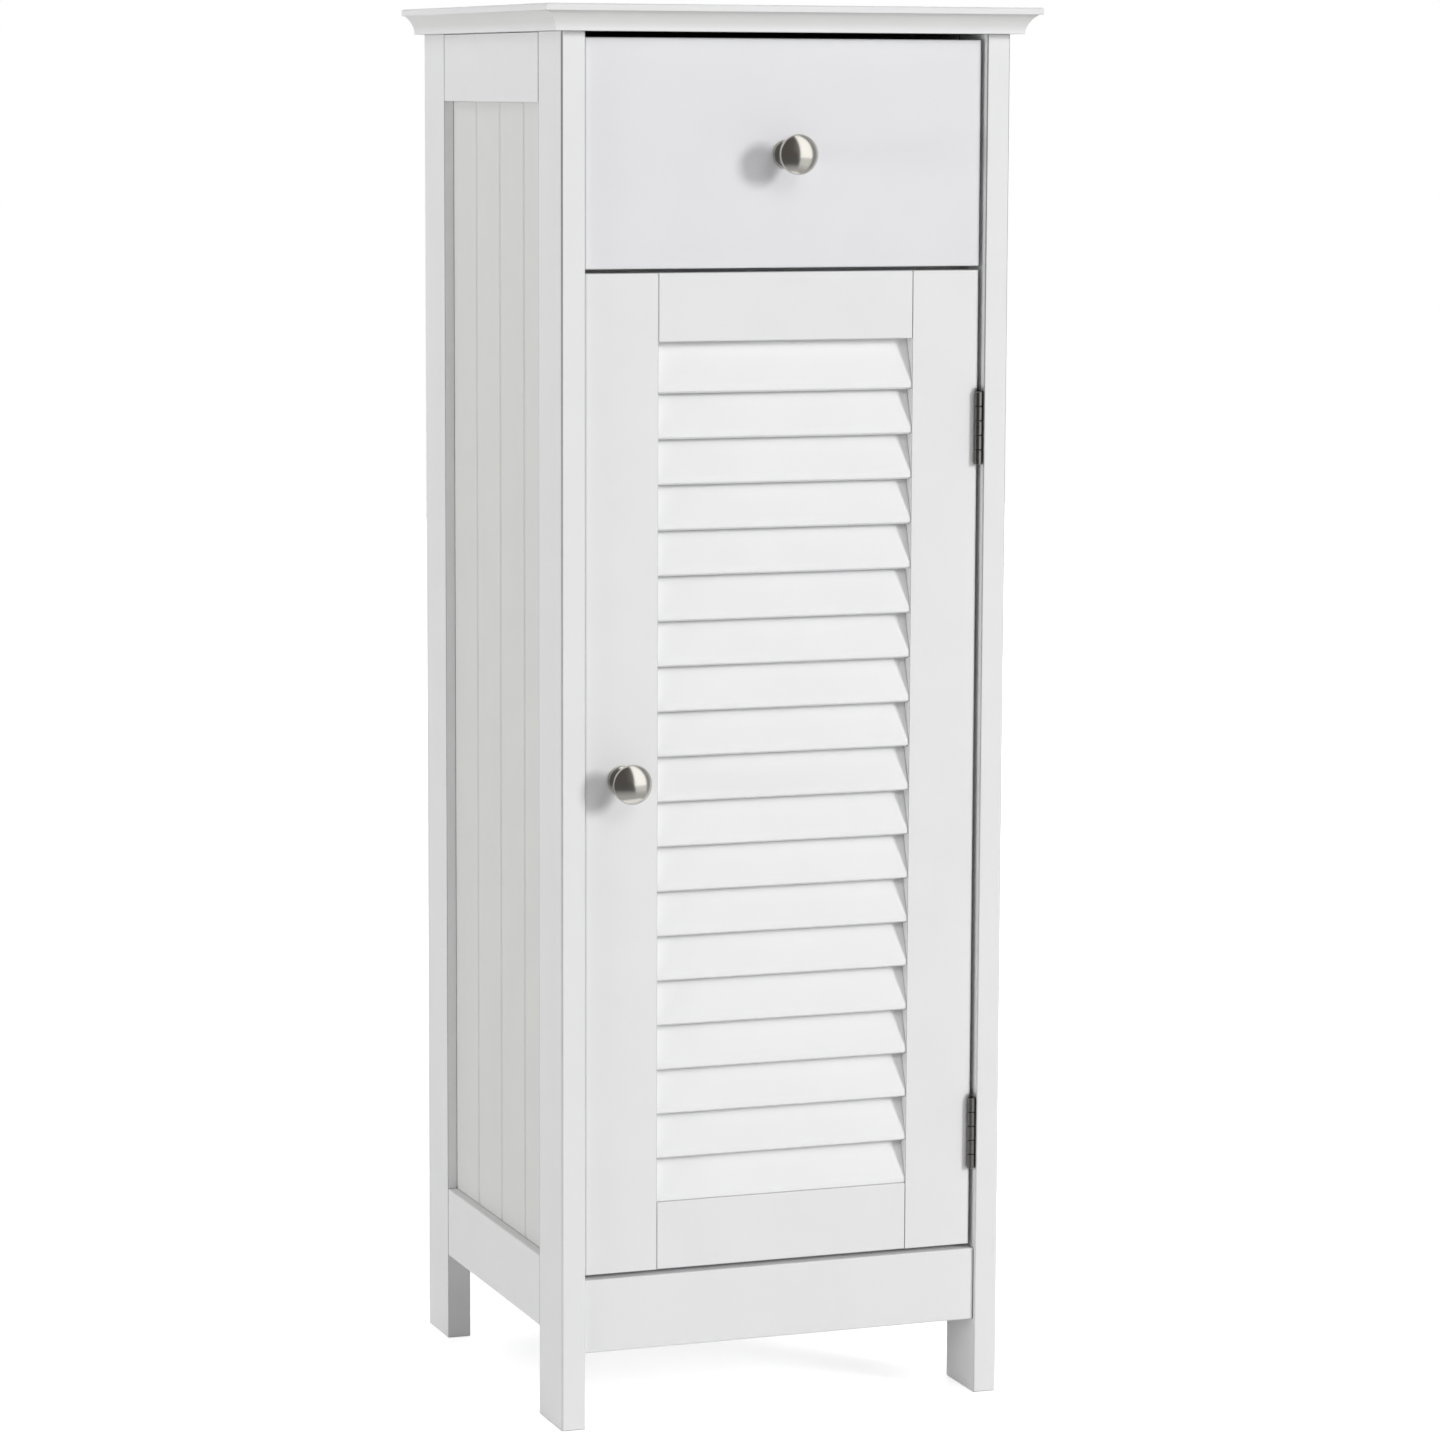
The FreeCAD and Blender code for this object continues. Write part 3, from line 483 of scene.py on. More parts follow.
def grow(name, tree, sizes, material, corners, edges=()):
    """Evaluates a geometry tree with these sizes into a plain mesh. Corners and edges make
    the wire mesh that the tree gets as its input."""
    wire = bpy.data.meshes.new(f"{name}_seed")
    wire.from_pydata(corners, edges, [])
    seedling = bpy.data.objects.new(f"{name}_seed", wire)
    bpy.context.scene.collection.objects.link(seedling)
    modifier = seedling.modifiers.new(name, "NODES")
    modifier.node_group = tree
    values = {"Finish": material, **sizes}
    for socket in tree.interface.items_tree:
        if socket.in_out == "INPUT" and socket.name != "Geometry":
            modifier[socket.identifier] = values[socket.name]
    graph = bpy.context.evaluated_depsgraph_get()
    mesh = bpy.data.meshes.new_from_object(seedling.evaluated_get(graph))
    seedling.modifiers.remove(modifier)
    bpy.data.objects.remove(seedling)
    mesh.name = name
    smooth_shade(mesh)
    return mesh


def louvre_tree():
    """A slat swept along X from its section, leaning back, and copies of it one pitch apart
    up the door. The sweep takes the section's x to -Y and its y to -Z."""
    tree = new_geometry_tree("louvre", [
        ("Length", "NodeSocketFloat"), ("Round", "NodeSocketFloat"), ("Tilt", "NodeSocketFloat"),
        ("First", "NodeSocketVector"), ("Pitch", "NodeSocketFloat"), ("Count", "NodeSocketInt"),
    ])
    given = add(tree, "NodeGroupInput").outputs
    left, right = (
        add(tree, "ShaderNodeCombineXYZ", {"X": halfway(tree, given["Length"], sign)})
        for sign in (-1, 1)
    )
    run = add(tree, "GeometryNodeCurvePrimitiveLine", {
        "Start": left.outputs["Vector"], "End": right.outputs["Vector"],
    })
    section = add(tree, "GeometryNodeMeshToCurve", {"Mesh": given["Geometry"]})
    rounded = add(tree, "GeometryNodeFilletCurve", {
        "Curve": section.outputs["Curve"], "Count": 3, "Radius": given["Round"],
        "Limit Radius": True,
    }, mode="POLY")
    slat = add(tree, "GeometryNodeCurveToMesh", {
        "Curve": run.outputs["Curve"], "Profile Curve": rounded.outputs["Curve"],
        "Fill Caps": True,
    })
    lean = add(tree, "ShaderNodeCombineXYZ", {"X": given["Tilt"]})
    leaning = add(tree, "GeometryNodeTransform", {
        "Geometry": slat.outputs["Mesh"], "Rotation": lean.outputs["Vector"],
    })
    step = add(tree, "ShaderNodeCombineXYZ", {"Z": given["Pitch"]})
    places = add(tree, "GeometryNodeMeshLine", {
        "Count": given["Count"], "Start Location": given["First"],
        "Offset": step.outputs["Vector"],
    })
    copies = add(tree, "GeometryNodeInstanceOnPoints", {
        "Points": places.outputs["Mesh"], "Instance": leaning.outputs["Geometry"],
    })
    end_geometry_tree(tree, copies.outputs["Instances"], given["Finish"])
    return tree


def slat_section():
    """The slat's section about its middle, across its thickness and along its chord. The low
    front edge and the high back edge are cut plumb."""
    front, foot = SLAT_THICK / 2, SLAT_CHORD / 2
    across, up = PLUMB_CUT / math.cos(SLAT_TILT), PLUMB_CUT / math.sin(SLAT_TILT)
    half = [(-front, foot), (front - across, foot), (front, foot - up)]
    return [(x, y, 0) for x, y in half] + [(-x, -y, 0) for x, y in half]


def louvre_slats(nodes, material):
    """All slats as one mesh, spaced from the lowest node to the highest."""
    low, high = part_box(nodes[0])
    last_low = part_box(nodes[-1])[0]
    section = slat_section()
    return grow("louvre_slats", louvre_tree(), {
        "Length": high.x - low.x,
        "Round": SLAT_ROUND,
        "Tilt": -SLAT_TILT,
        "First": (low + high) / 2,
        "Pitch": (last_low.z - low.z) / (len(nodes) - 1),
        "Count": len(nodes),
    }, material, section, [(i, (i + 1) % len(section)) for i in range(len(section))])


# Their coat is painted lighter for the light their up-tilted faces catch, and their arrises and
# corners take only a faint painted shade.
slat_coat = satin_lacquer("satin white lacquer on the slats", SLAT_PAINTED_LIGHT_WHITE, SLAT_PAINTED_LIGHT_SHADE, SLAT_EDGE_SHADE)
slat_nodes = sorted(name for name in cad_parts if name.startswith("door_slat_"))
slats = add_piece("louvre_slats", louvre_slats(slat_nodes, slat_coat), slat_coat, "door")
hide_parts(*slat_nodes)

# ---------------------------------------------------------------- knobs
# Two turned knobs, nickel plated: a base flange, a slim waisted neck and a broad domed head.
# Each is screwed on from behind with one machine screw.

KNOB_SIDES = 96
KNOB_FOOT = 8.7 * MM
KNOB_FOOT_EDGE = 0.3 * MM
KNOB_FOOT_HIGH = 1.3 * MM
KNOB_RIM = (11.5, 22.8)
# Each arc goes on from the last one: a point on it, its end and its steps, in millimetres
# from the axis and from the foot.
KNOB_ARCS = (
    ((8.4, 2.0), (7.7, 2.3), 6),  # the flange's shoulder
    ((5.6, 4.4), (5.0, 8.6), 14),  # in to the neck
    ((6.6, 14.6), (11.0, 18.2), 18),  # out under the head
    ((11.95, 19.3), (12.2, 20.8), 8),  # the head's lower edge
    ((12.07, 22.0), KNOB_RIM, 8),  # its upper edge
)
DOME_STEPS = 28
NICKEL = "C8C5BF"
TURNING_LINE = 0.5 * MM


def turn_form(form, profile, axis_point, out, sides):
    """Adds a turned form. The profile's (radius, distance) pairs run along the out direction
    from the axis point. They start and end on the axis, or close a ring round it."""
    out = Vector(out).normalized()
    side = out.orthogonal().normalized()
    up = out.cross(side)
    rings = []
    for radius, far in profile:
        centre = Vector(axis_point) + out * far
        if radius < 1e-7:
            rings.append([form.verts.new(centre)])
            continue
        turns = [math.tau * i / sides for i in range(sides)]
        rings.append([
            form.verts.new(centre + (side * math.cos(t) + up * math.sin(t)) * radius)
            for t in turns
        ])
    if len(rings[0]) > 1:
        rings.append(rings[0])
    for ring, nxt in zip(rings, rings[1:]):
        for i in range(sides):
            j = (i + 1) % sides
            corners = [
                ring[i % len(ring)], ring[j % len(ring)], nxt[j % len(nxt)], nxt[i % len(nxt)],
            ]
            form.faces.new(list(dict.fromkeys(corners)))


def turned_mesh(name, form):
    """A finished form as a mesh, its faces outward."""
    bmesh.ops.recalc_face_normals(form, faces=form.faces)
    return form_mesh(name, form)


def in_mm(pair):
    """A pair of millimetres in metres."""
    return tuple(v * MM for v in pair)


def knob_profile(reach):
    """Half the knob's outline from the face it sits on, flange first. The dome's centre lies
    on the axis."""
    line = [(0, 0), (KNOB_FOOT - KNOB_FOOT_EDGE, 0)]
    line += [(KNOB_FOOT, KNOB_FOOT_EDGE), (KNOB_FOOT, KNOB_FOOT_HIGH)]
    for middle, end, steps in KNOB_ARCS:
        line += arc_through(line[-1], in_mm(middle), in_mm(end), steps)
    rim, rim_up = in_mm(KNOB_RIM)
    rise = reach - rim_up
    radius = (rim ** 2 + rise ** 2) / (2 * rise)
    widest = math.asin(rim / radius)
    for step in range(1, DOME_STEPS + 1):
        turn = widest * (1 - step / DOME_STEPS)
        line.append((radius * math.sin(turn), reach - radius * (1 - math.cos(turn))))
    return line


def nickel_plate():
    """Satin nickel plate on turned zinc: a warm grey metal with a soft mirror, and the
    finest turning lines round the axis."""
    material, tree = new_material("satin nickel plate")
    streaks = noise(tree, object_place(tree), TURNING_LINE)
    return finish_solid(material, {
        "Base Color": linear(NICKEL), "Metallic": 1.0,
        "Roughness": ramp(tree, streaks, 0.3, 0.7, 0.17, 0.23),
    })


def turned_knob(node):
    """A knob in the place of its node, its dome to the front."""
    low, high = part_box(node)
    seat = ((low.x + high.x) / 2, high.y, (low.z + high.z) / 2)
    form = bmesh.new()
    turn_form(form, knob_profile(high.y - low.y), seat, (0, -1, 0), KNOB_SIDES)
    return turned_mesh(f"{node}_turned", form)


nickel = nickel_plate()
for node, body in (("drawer_knob", "drawer"), ("door_knob", "door")):
    knob = add_piece(f"{node}_turned", turned_knob(node), nickel, body)
    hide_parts(node)

# ---------------------------------------------------------------- hinges
# Two small steel butt hinges, nickel plated. Each has two pressed leaves, five rolled
# knuckles and a pin with a small ball tip, and four countersunk screws.

HINGE_HIGH = 45 * MM
LEAF_THICK = 1.1 * MM
KNUCKLES = 5
KNUCKLE_RADIUS = 2.4 * MM
KNUCKLE_BORE = 1.25 * MM
KNUCKLE_PLAY = 0.2 * MM
KNUCKLE_EDGE = 0.4 * MM
KNUCKLE_CLEAR = 3.4 * MM
KNUCKLE_SIDES = 40
PIN_RADIUS = 1.2 * MM
PIN_HEAD = 3 * MM
PIN_COLLAR = 1.85 * MM
PIN_COLLAR_HIGH = 0.4 * MM
PIN_BALL = 1.45 * MM
PIN_SIDES = 32
BALL_STEPS = 12
BALL_START = -55
LEAF_SCREW = {
    "Head": 2.3 * MM, "High": 0.7 * MM, "Recess": 1.3 * MM, "Shank": 1.4 * MM,
    "Length": 10 * MM,
}
SCREW_SPOTS = (11 * MM, 34 * MM)
SCREW_HOLE = 1.5 * MM
COUNTERSINK = 2.45 * MM
HOLE_SIDES = 28
STEEL_GREY = "7B7A77"
PIN_GREY = "4C4A47"


def plated_steel(name, colour, roughness, bloom=0.0):
    """Plated sheet steel: bright, slightly clouded metal with fine rolling lines, under a
    thin whitish bloom if it has one."""
    material, tree = new_material(name)
    lines = noise(tree, object_place(tree, (1, 1, 0.1)), 0.3 * MM, 3.0)
    return finish_solid(material, {
        "Base Color": linear(colour), "Metallic": 1.0 - bloom,
        "Roughness": ramp(tree, lines, 0.3, 0.7, roughness - 0.05, roughness + 0.07),
    })


def drilled_plate(form, outline, holes, near, far, place):
    """Adds a flat plate between two depths. Each hole is its centre and its radius at the near
    and the far face. place makes a point of a pair and a depth."""
    def loop(points, depth):
        corners = [form.verts.new(place(a, b, depth)) for a, b in points]
        return corners, [
            form.edges.new((corners[i - 1], corners[i])) for i in range(len(corners))
        ]

    turns = [math.tau * i / HOLE_SIDES for i in range(HOLE_SIDES)]
    faces = []
    for depth, side in ((near, 0), (far, 1)):
        loops = [loop(outline, depth)]
        for (across, up), radii in holes:
            radius = radii[side]
            loops.append(loop([
                (across + radius * math.cos(t), up + radius * math.sin(t)) for t in turns
            ], depth))
        rims = [edge for _, edges in loops for edge in edges]
        bmesh.ops.triangle_fill(form, use_beauty=True, edges=rims)
        faces.append([corners for corners, _ in loops])
    for front, back in zip(*faces):
        for i in range(len(front)):
            form.faces.new((front[i - 1], front[i], back[i], back[i - 1]))


def hinge_leaf(form, pin, foot, near, far, back, odd):
    """Adds one leaf round the pin: its plate behind the barrel, notched for the other leaf's
    knuckles, and its own knuckles, the odd ones or the even. Returns its screws' places."""
    high = HINGE_HIGH / KNUCKLES
    outline = []
    for number in range(KNUCKLES):
        own = (number % 2 == 0) == odd
        shrink = KNUCKLE_PLAY / 2 if own else -KNUCKLE_PLAY / 2
        start = 0 if number == 0 else number * high + shrink
        end = HINGE_HIGH if number == KNUCKLES - 1 else (number + 1) * high - shrink
        edge = pin.y if own else pin.y + KNUCKLE_CLEAR
        outline += [(edge, foot + start), (edge, foot + end)]
        if own:
            turn_form(form, [
                (KNUCKLE_BORE, start), (KNUCKLE_RADIUS - KNUCKLE_EDGE, start),
                (KNUCKLE_RADIUS, start + KNUCKLE_EDGE), (KNUCKLE_RADIUS, end - KNUCKLE_EDGE),
                (KNUCKLE_RADIUS - KNUCKLE_EDGE, end), (KNUCKLE_BORE, end),
            ], (pin.x, pin.y, foot), (0, 0, 1), KNUCKLE_SIDES)
    outline += [(back, foot + HINGE_HIGH), (back, foot)]
    middle = (pin.y + KNUCKLE_CLEAR + back) / 2
    holes = [((middle, foot + up), (COUNTERSINK, SCREW_HOLE)) for up in SCREW_SPOTS]
    drilled_plate(form, outline, holes, near, far, lambda y, z, x: (x, y, z))
    return [(near, middle, foot + up) for up in SCREW_SPOTS]


def pin_profile(long):
    """Half a hinge pin's outline from its foot: the shaft, a collar on the barrel and a ball."""
    line = [(0, 0), (PIN_RADIUS, 0), (PIN_RADIUS, HINGE_HIGH), (PIN_COLLAR, HINGE_HIGH)]
    line.append((PIN_COLLAR, HINGE_HIGH + PIN_COLLAR_HIGH))
    for step in range(BALL_STEPS):
        turn = math.radians(BALL_START + (90 - BALL_START) * step / BALL_STEPS)
        line.append((PIN_BALL * math.cos(turn), long - PIN_BALL + PIN_BALL * math.sin(turn)))
    line.append((0, long))
    return line


def screw_tree():
    """Cross-recessed screws, one at each point of the input: a flat head with the recess cut
    through it to its seat, and the shank below the seat."""
    tree = new_geometry_tree("screws", [
        ("Head", "NodeSocketFloat"), ("High", "NodeSocketFloat"), ("Recess", "NodeSocketFloat"),
        ("Shank", "NodeSocketFloat"), ("Length", "NodeSocketFloat"),
        ("Turn", "NodeSocketVector"),
    ])
    given = add(tree, "NodeGroupInput").outputs
    rim = add(tree, "GeometryNodeCurvePrimitiveCircle", {
        "Resolution": 36, "Radius": given["Head"],
    })
    cross = add(tree, "GeometryNodeCurveStar", {
        "Points": 4, "Inner Radius": calculate(tree, "MULTIPLY", given["Recess"], 0.36),
        "Outer Radius": given["Recess"],
    })
    outlines = add(tree, "GeometryNodeJoinGeometry", {"Geometry": rim.outputs["Curve"]})
    tree.links.new(cross.outputs["Curve"], outlines.inputs["Geometry"])
    face = add(tree, "GeometryNodeFillCurve", {"Curve": outlines.outputs["Geometry"]})
    head = add(tree, "GeometryNodeExtrudeMesh", {
        "Mesh": face.outputs["Mesh"], "Offset Scale": given["High"], "Individual": False,
    })
    seat = add(tree, "GeometryNodeFlipFaces", {"Mesh": face.outputs["Mesh"]})
    rod = add(tree, "GeometryNodeMeshCylinder", {
        "Vertices": 24, "Radius": given["Shank"], "Depth": given["Length"],
    })
    down = add(tree, "ShaderNodeCombineXYZ", {"Z": halfway(tree, given["Length"], -1)})
    shank = add(tree, "GeometryNodeTransform", {
        "Geometry": rod.outputs["Mesh"], "Translation": down.outputs["Vector"],
    })
    screw = add(tree, "GeometryNodeJoinGeometry", {"Geometry": head.outputs["Mesh"]})
    tree.links.new(seat.outputs["Mesh"], screw.inputs["Geometry"])
    tree.links.new(shank.outputs["Geometry"], screw.inputs["Geometry"])
    turned = add(tree, "GeometryNodeTransform", {
        "Geometry": screw.outputs["Geometry"], "Rotation": given["Turn"],
    })
    copies = add(tree, "GeometryNodeInstanceOnPoints", {
        "Points": given["Geometry"], "Instance": turned.outputs["Geometry"],
    })
    end_geometry_tree(tree, copies.outputs["Instances"], given["Finish"])
    return tree


screws = screw_tree()


def add_screws(name, sizes, material, body, spots):
    """Screws of one size at these spots, where their heads' undersides sit."""
    return add_piece(name, grow(name, screws, sizes, material, spots), material, body)


hinge_steel = plated_steel("nickel plated steel", STEEL_GREY, 0.3)
pin_steel = plated_steel("dark nickel plated steel", PIN_GREY, 0.3)
low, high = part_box("hinge_pins")
pin = (low + high) / 2
hinge_feet = (low.z, high.z - HINGE_HIGH - PIN_HEAD)
leg_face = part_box("hinge_frame_leaves")[1].x
door_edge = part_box("door_right_stile")[1].x
for node, body, near, far, facing in (
    ("hinge_frame_leaves", "cabinet", leg_face - LEAF_THICK, leg_face, -1),
    ("hinge_door_leaves", "door", door_edge + LEAF_THICK, door_edge, 1),
):
    form = bmesh.new()
    spots = []
    for foot in hinge_feet:
        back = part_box(node)[1].y
        spots += hinge_leaf(form, pin, foot, near, far, back, odd=body == "cabinet")
    pressed = turned_mesh(f"{node}_pressed", form)
    leaves = add_piece(f"{node}_pressed", pressed, hinge_steel, body)
    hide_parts(node)
    # The heads lie flush in the countersinks.
    sizes = {**LEAF_SCREW, "Turn": (0, math.radians(90 * facing), 0)}
    seats = [(x - facing * LEAF_SCREW["High"], y, z) for x, y, z in spots]
    fixed = add_screws(f"{node}_screws", sizes, hinge_steel, body, seats)

form = bmesh.new()
for foot in hinge_feet:
    profile = pin_profile(HINGE_HIGH + PIN_HEAD)
    turn_form(form, profile, (pin.x, pin.y, foot), (0, 0, 1), PIN_SIDES)
turned = turned_mesh("hinge_pins_turned", form)
pins = add_piece("hinge_pins_turned", turned, pin_steel, "cabinet")
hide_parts("hinge_pins")

# ---------------------------------------------------------------- catch and shelf pins
# A magnetic catch in a white moulded case under the divider, a zinc plated strike plate on
# the door's back and four shelf pins in the legs. Pan-head machine screws hold the knobs
# from behind, two small ones the strike plate.

ZINC_GREY = "BFC1C2"
CASE_WHITE = "E4E3DF"
CASE_GRIT = 0.4 * MM
CASE_DEPTH = 0.01 * MM
PAN_HEAD = {"Head": 3.9 * MM, "High": 2.1 * MM, "Recess": 1.9 * MM, "Shank": 1.95 * MM}
STRIKE_SCREW = {
    "Head": 2.3 * MM, "High": 0.12 * MM, "Recess": 1.3 * MM, "Shank": 1.4 * MM,
    "Length": 9 * MM,
}
STRIKE_SPOTS = (0.22, 0.78)
FROM_BEHIND = (math.radians(-90), 0, 0)


def moulded_plastic():
    """Moulded white plastic: even colour, low sheen, a fine spark-eroded texture."""
    material, tree = new_material("moulded white plastic")
    grit = noise(tree, object_place(tree), CASE_GRIT)
    return finish_solid(material, {
        "Base Color": linear(CASE_WHITE), "Roughness": 0.45, "IOR": 1.46,
        "Normal": relief(tree, grit, CASE_DEPTH, 0.5),
    })


zinc = plated_steel("bright zinc plate", ZINC_GREY, 0.38, bloom=0.4)
dress(zinc, "strike_plate", "shelf_pins")
dress(moulded_plastic(), "magnet_catch")

for node, front, body in (
    ("drawer_knob", "drawer_front", "drawer"), ("door_knob", "door_left_stile", "door"),
):
    low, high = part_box(node)
    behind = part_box(front)[1].y
    sizes = {**PAN_HEAD, "Length": behind - high.y, "Turn": FROM_BEHIND}
    spot = ((low.x + high.x) / 2, behind, (low.z + high.z) / 2)
    screw = add_screws(f"{node}_screw", sizes, zinc, body, [spot])

low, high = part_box("strike_plate")
spots = [
    (low.x + (high.x - low.x) * share, high.y, (low.z + high.z) / 2) for share in STRIKE_SPOTS
]
sizes = {**STRIKE_SCREW, "Turn": FROM_BEHIND}
screw = add_screws("strike_plate_screws", sizes, zinc, "door", spots)

# ---------------------------------------------------------------- studio
# A white floor in a white room, a large soft lamp far off at the front right, weaker ones
# above and on the left, and one behind. Cards that only reflections show stand and lie
# round it, dark, bright and grey, for the knobs to mirror.

FLOOR_HALF = 6.0
FLOOR_GRAIN = 25 * MM
FLOOR_DROP = 0.3 * MM
PAPER_WHITE = "F4F4F4"
PAPER_SHADE = "F0F0F0"
OBJECT_MIDDLE = Vector((0, 0, 0.43))
ROOM_LIGHT = 0.2
CARD_RADIUS = 3.6
CARD_COLUMNS = 24
CARD_ROWS = 8
CARD_RISE = (-7.5, 87)
CARD_DROP = 0.1 * MM
FLOOR_RING = (0.3, CARD_RADIUS * 1.02)
# Each card's span in degrees, its brightness upright and on the floor, and its tint.
CARDS = {
    "dark": ((-150, 9.5), 0.12, 0.12, "FFF8F2"),
    "bright": ((9.5, 68.5), 1.6, 0.9, "FFFFFF"),
    "grey": ((68.5, 140), 0.35, 0.35, "FFFFFF"),
}


def seen_white(tree):
    """1 where the camera or polished metal or glass looks at the surface, 0 for other rays."""
    ray = add(tree, "ShaderNodeLightPath").outputs
    seen = calculate(tree, "MAXIMUM", ray["Is Camera Ray"], ray["Is Glossy Ray"])
    return calculate(tree, "MAXIMUM", seen, ray["Is Transmission Ray"])


def distance_out(tree):
    """The distance from the middle of the floor."""
    measured = add(tree, "ShaderNodeVectorMath", {0: object_place(tree)}, operation="LENGTH")
    return measured.outputs["Value"]


def studio_floor():
    """White studio floor: paper that takes the cabinet's shadow and fades into the room."""
    material, tree = new_material("white studio paper")
    paper = mix(tree, noise(tree, object_place(tree), FLOOR_GRAIN, 3.0), PAPER_WHITE, PAPER_SHADE)
    diffuse = add(tree, "ShaderNodeBsdfDiffuse", {"Color": paper})
    fade = ramp(tree, distance_out(tree), 0.25, 1.4, low=0.62)
    strength = calculate(tree, "MULTIPLY", fade, seen_white(tree))
    glow = add(tree, "ShaderNodeEmission", {"Strength": strength})
    both = add(tree, "ShaderNodeAddShader", {
        0: diffuse.outputs["BSDF"], 1: glow.outputs["Emission"],
    })
    return finish_material(material, both.outputs["Shader"])


def glowing_cloth(name, tint, level, fades_in=False):
    """Cloth that glows evenly, or that takes over slowly from the white floor by the cabinet."""
    material, tree = new_material(f"{name} cloth")
    if fades_in:
        level = ramp(tree, distance_out(tree), 0.5, 1.05, 0.55, level)
    glow = add(tree, "ShaderNodeEmission", {"Color": linear(tint), "Strength": level})
    return finish_material(material, glow.outputs["Emission"])


def stage_sheet(name, corners, faces, material):
    """A sheet that belongs to the studio."""
    mesh = bpy.data.meshes.new(name)
    mesh.from_pydata(corners, [], faces)
    sheet = bpy.data.objects.new(name, mesh)
    bpy.context.scene.collection.objects.link(sheet)
    mesh.materials.append(material)
    return sheet


def studio_world():
    """The room: white where the camera or polished metal sees it, a soft grey light else."""
    world = bpy.data.worlds.new("white room")
    world.use_nodes = True
    tree = world.node_tree
    tree.nodes.clear()
    level = ramp(tree, seen_white(tree), 0.0, 1.0, low=ROOM_LIGHT)
    light = add(tree, "ShaderNodeBackground", {"Color": linear("FFFFFF"), "Strength": level})
    add(tree, "ShaderNodeOutputWorld", {"Surface": light.outputs["Background"]})
    bpy.context.scene.world = world


def around(azimuth, elevation=0.0):
    """The way from the cabinet at an azimuth and elevation in degrees. Azimuth 0 is straight
    in front, positive towards the right."""
    turn, above = math.radians(azimuth), math.radians(elevation)
    flat = math.cos(above)
    return Vector((math.sin(turn) * flat, -math.cos(turn) * flat, math.sin(above)))


def softbox(name, way, distance, size, power, mirrored=True):
    """A rectangular area lamp that looks at the cabinet. One that isn't mirrored doesn't
    show in reflections."""
    lamp = bpy.data.lights.new(name, "AREA")
    lamp.shape = "RECTANGLE"
    lamp.size, lamp.size_y = size
    lamp.energy = power
    holder = bpy.data.objects.new(name, lamp)
    holder.location = OBJECT_MIDDLE + way * distance
    holder.rotation_euler = way.to_track_quat("Z", "Y").to_euler()
    holder.visible_glossy = mirrored
    bpy.context.scene.collection.objects.link(holder)


def only_mirrored(card):
    """Leaves a card to reflections alone."""
    card.visible_camera = card.visible_diffuse = card.visible_transmission = False
    card.visible_volume_scatter = card.visible_shadow = False


def span(ends, step, steps):
    """A value part of the way from one end to the other."""
    return ends[0] + (ends[1] - ends[0]) * step / steps


def upright_card(name, azimuths, level, tint):
    """Part of a wide shell round the cabinet, between two azimuths."""
    corners, faces = [], []
    for row in range(CARD_ROWS + 1):
        rise = span(CARD_RISE, row, CARD_ROWS)
        for column in range(CARD_COLUMNS + 1):
            turn = span(azimuths, column, CARD_COLUMNS)
            corners.append(tuple(OBJECT_MIDDLE + around(turn, rise) * CARD_RADIUS))
            if row < CARD_ROWS and column < CARD_COLUMNS:
                first = row * (CARD_COLUMNS + 1) + column
                above = first + CARD_COLUMNS + 1
                faces.append((first, first + 1, above + 1, above))
    cloth = glowing_cloth(name, tint, level)
    only_mirrored(stage_sheet(name, corners, faces, cloth))


def floor_card(name, azimuths, level):
    """Part of a ring that lies on the floor, between two azimuths."""
    corners, faces = [], []
    for column in range(CARD_COLUMNS + 1):
        turn = span(azimuths, column, CARD_COLUMNS)
        for radius in FLOOR_RING:
            foot = around(turn) * radius
            corners.append((foot.x, foot.y, -CARD_DROP))
        if column < CARD_COLUMNS:
            first = 2 * column
            faces.append((first, first + 1, first + 3, first + 2))
    cloth = glowing_cloth(name, "FFFFFF", level, fades_in=True)
    only_mirrored(stage_sheet(name, corners, faces, cloth))


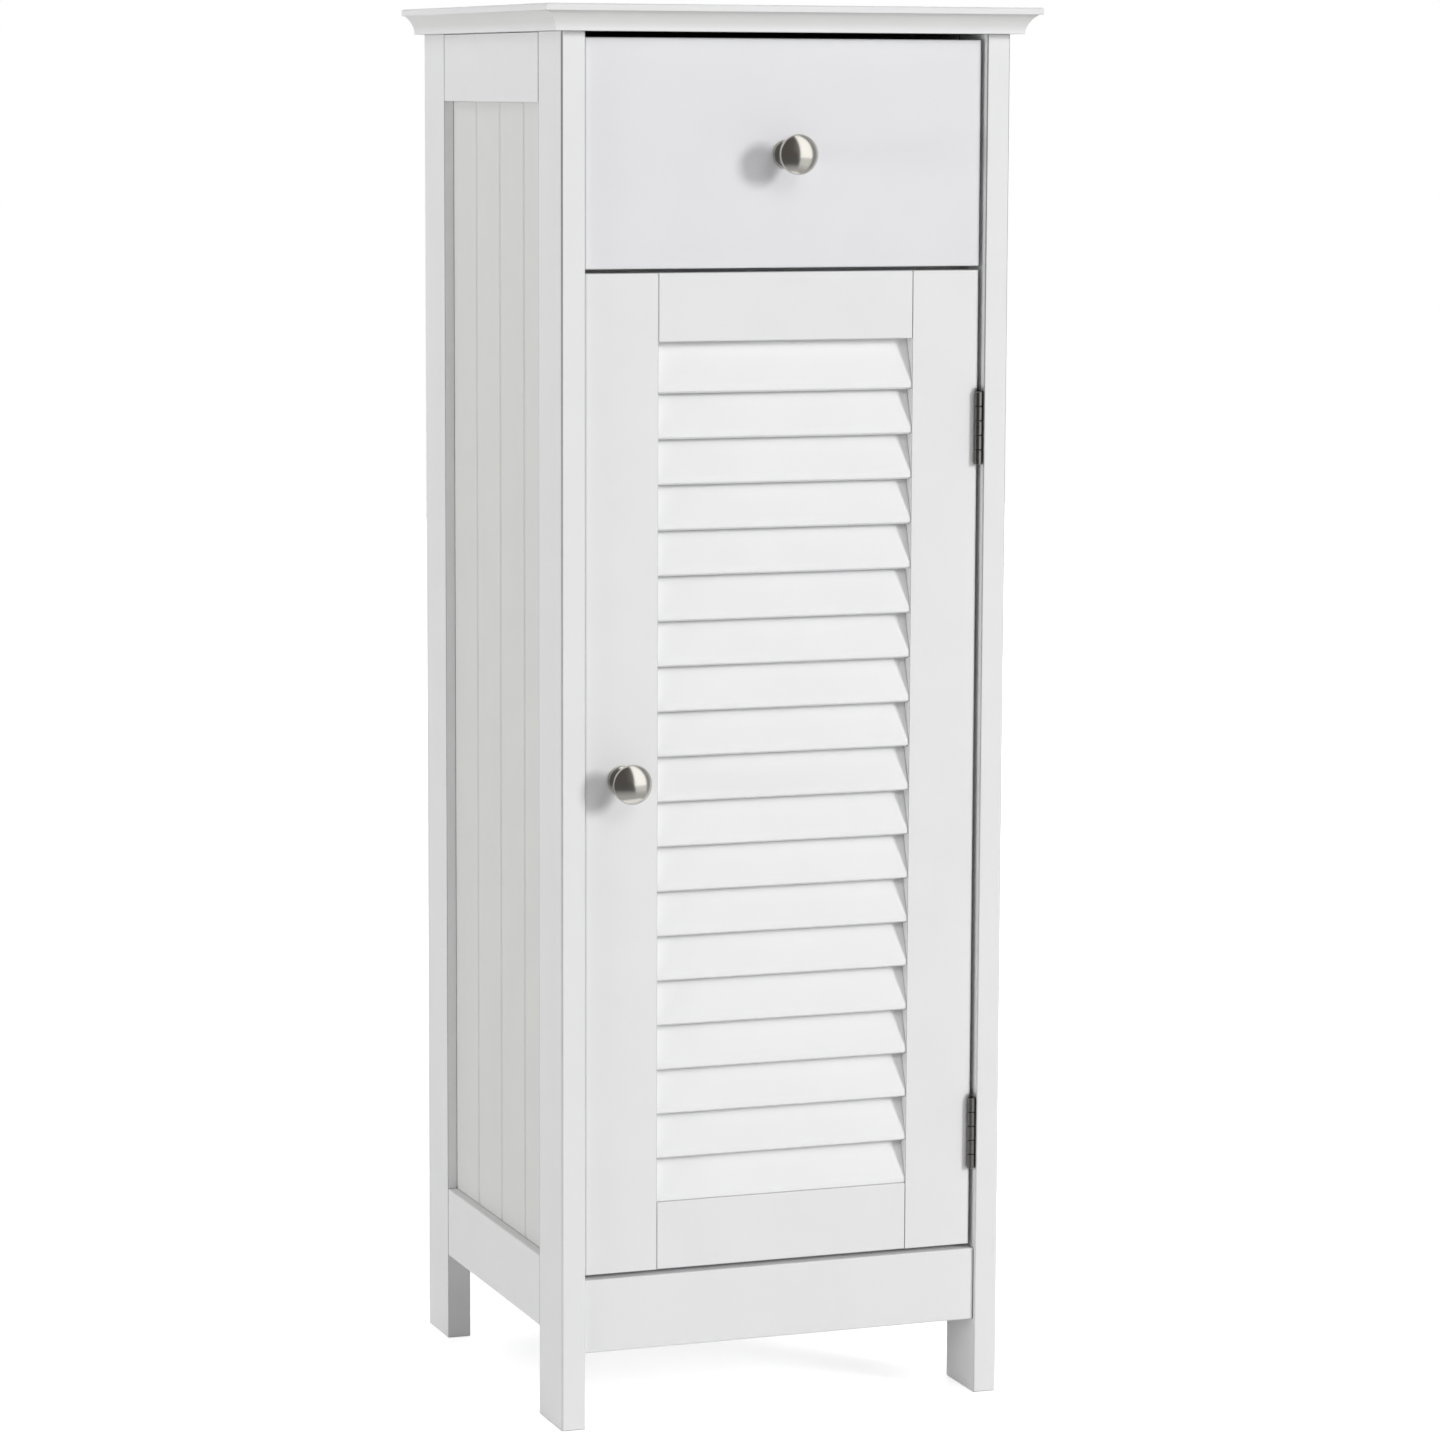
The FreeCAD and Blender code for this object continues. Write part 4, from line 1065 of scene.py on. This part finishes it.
floor_corners = [
    (FLOOR_HALF * x, FLOOR_HALF * y, -FLOOR_DROP) for x, y in ((-1, -1), (1, -1), (1, 1), (-1, 1))
]
stage_sheet("studio_floor", floor_corners, [(0, 1, 2, 3)], studio_floor())
studio_world()
softbox(
    "front_right_softbox", around(40, 15), distance=16.0, size=(3.4, 4.2), power=1475,
    mirrored=False)
softbox("front_top_softbox", around(8, 33), distance=4.5, size=(1.6, 1.6), power=26)
softbox(
    "left_top_softbox", around(-115, 45), distance=1.9, size=(1.0, 1.0), power=7.0,
    mirrored=False)
softbox(
    "low_left_softbox", around(-82, 3), distance=5.0, size=(1.6, 0.8), power=81,
    mirrored=False)
softbox("rear_right_softbox", around(152, 30), distance=5.0, size=(2.0, 2.0), power=90)
for name, (azimuths, level, _, tint) in CARDS.items():
    upright_card(f"{name}_card", azimuths, level, tint)
for name, (azimuths, _, floor_level, _) in CARDS.items():
    floor_card(f"{name}_floor", azimuths, floor_level)

# ---------------------------------------------------------------- camera
# A long lens at the left, a little below the cabinet's top and looking slightly down, so
# the front is nearly flat on and the left side shows narrow.

CAMERA_PLACE = (-1.05616, -2.88981, 0.82068)
CAMERA_YAW = math.radians(-20.157)
CAMERA_PITCH = math.radians(-7.427)
CAMERA_ROLL = math.radians(0.217)
CAMERA_LENS = 121.245
CAMERA_SENSOR = 36


def set_camera():
    """Yaw turns the camera about the vertical, pitch tips it, roll turns it about its view."""
    flat = math.cos(CAMERA_PITCH)
    ahead = Vector((
        -math.sin(CAMERA_YAW) * flat, math.cos(CAMERA_YAW) * flat, math.sin(CAMERA_PITCH)))
    right = Vector((math.cos(CAMERA_YAW), math.sin(CAMERA_YAW), 0))
    up = right.cross(ahead)
    rolled_right = right * math.cos(CAMERA_ROLL) + up * math.sin(CAMERA_ROLL)
    rolled_up = up * math.cos(CAMERA_ROLL) - right * math.sin(CAMERA_ROLL)
    camera = bpy.data.cameras.new("camera")
    camera.lens = CAMERA_LENS
    camera.sensor_width = CAMERA_SENSOR
    holder = bpy.data.objects.new("camera", camera)
    turn = Matrix((rolled_right, rolled_up, -ahead)).transposed().to_4x4()
    holder.matrix_world = Matrix.Translation(CAMERA_PLACE) @ turn
    bpy.context.scene.collection.objects.link(holder)
    bpy.context.scene.camera = holder


set_camera()
bpy.context.scene.view_settings.view_transform = "Standard"
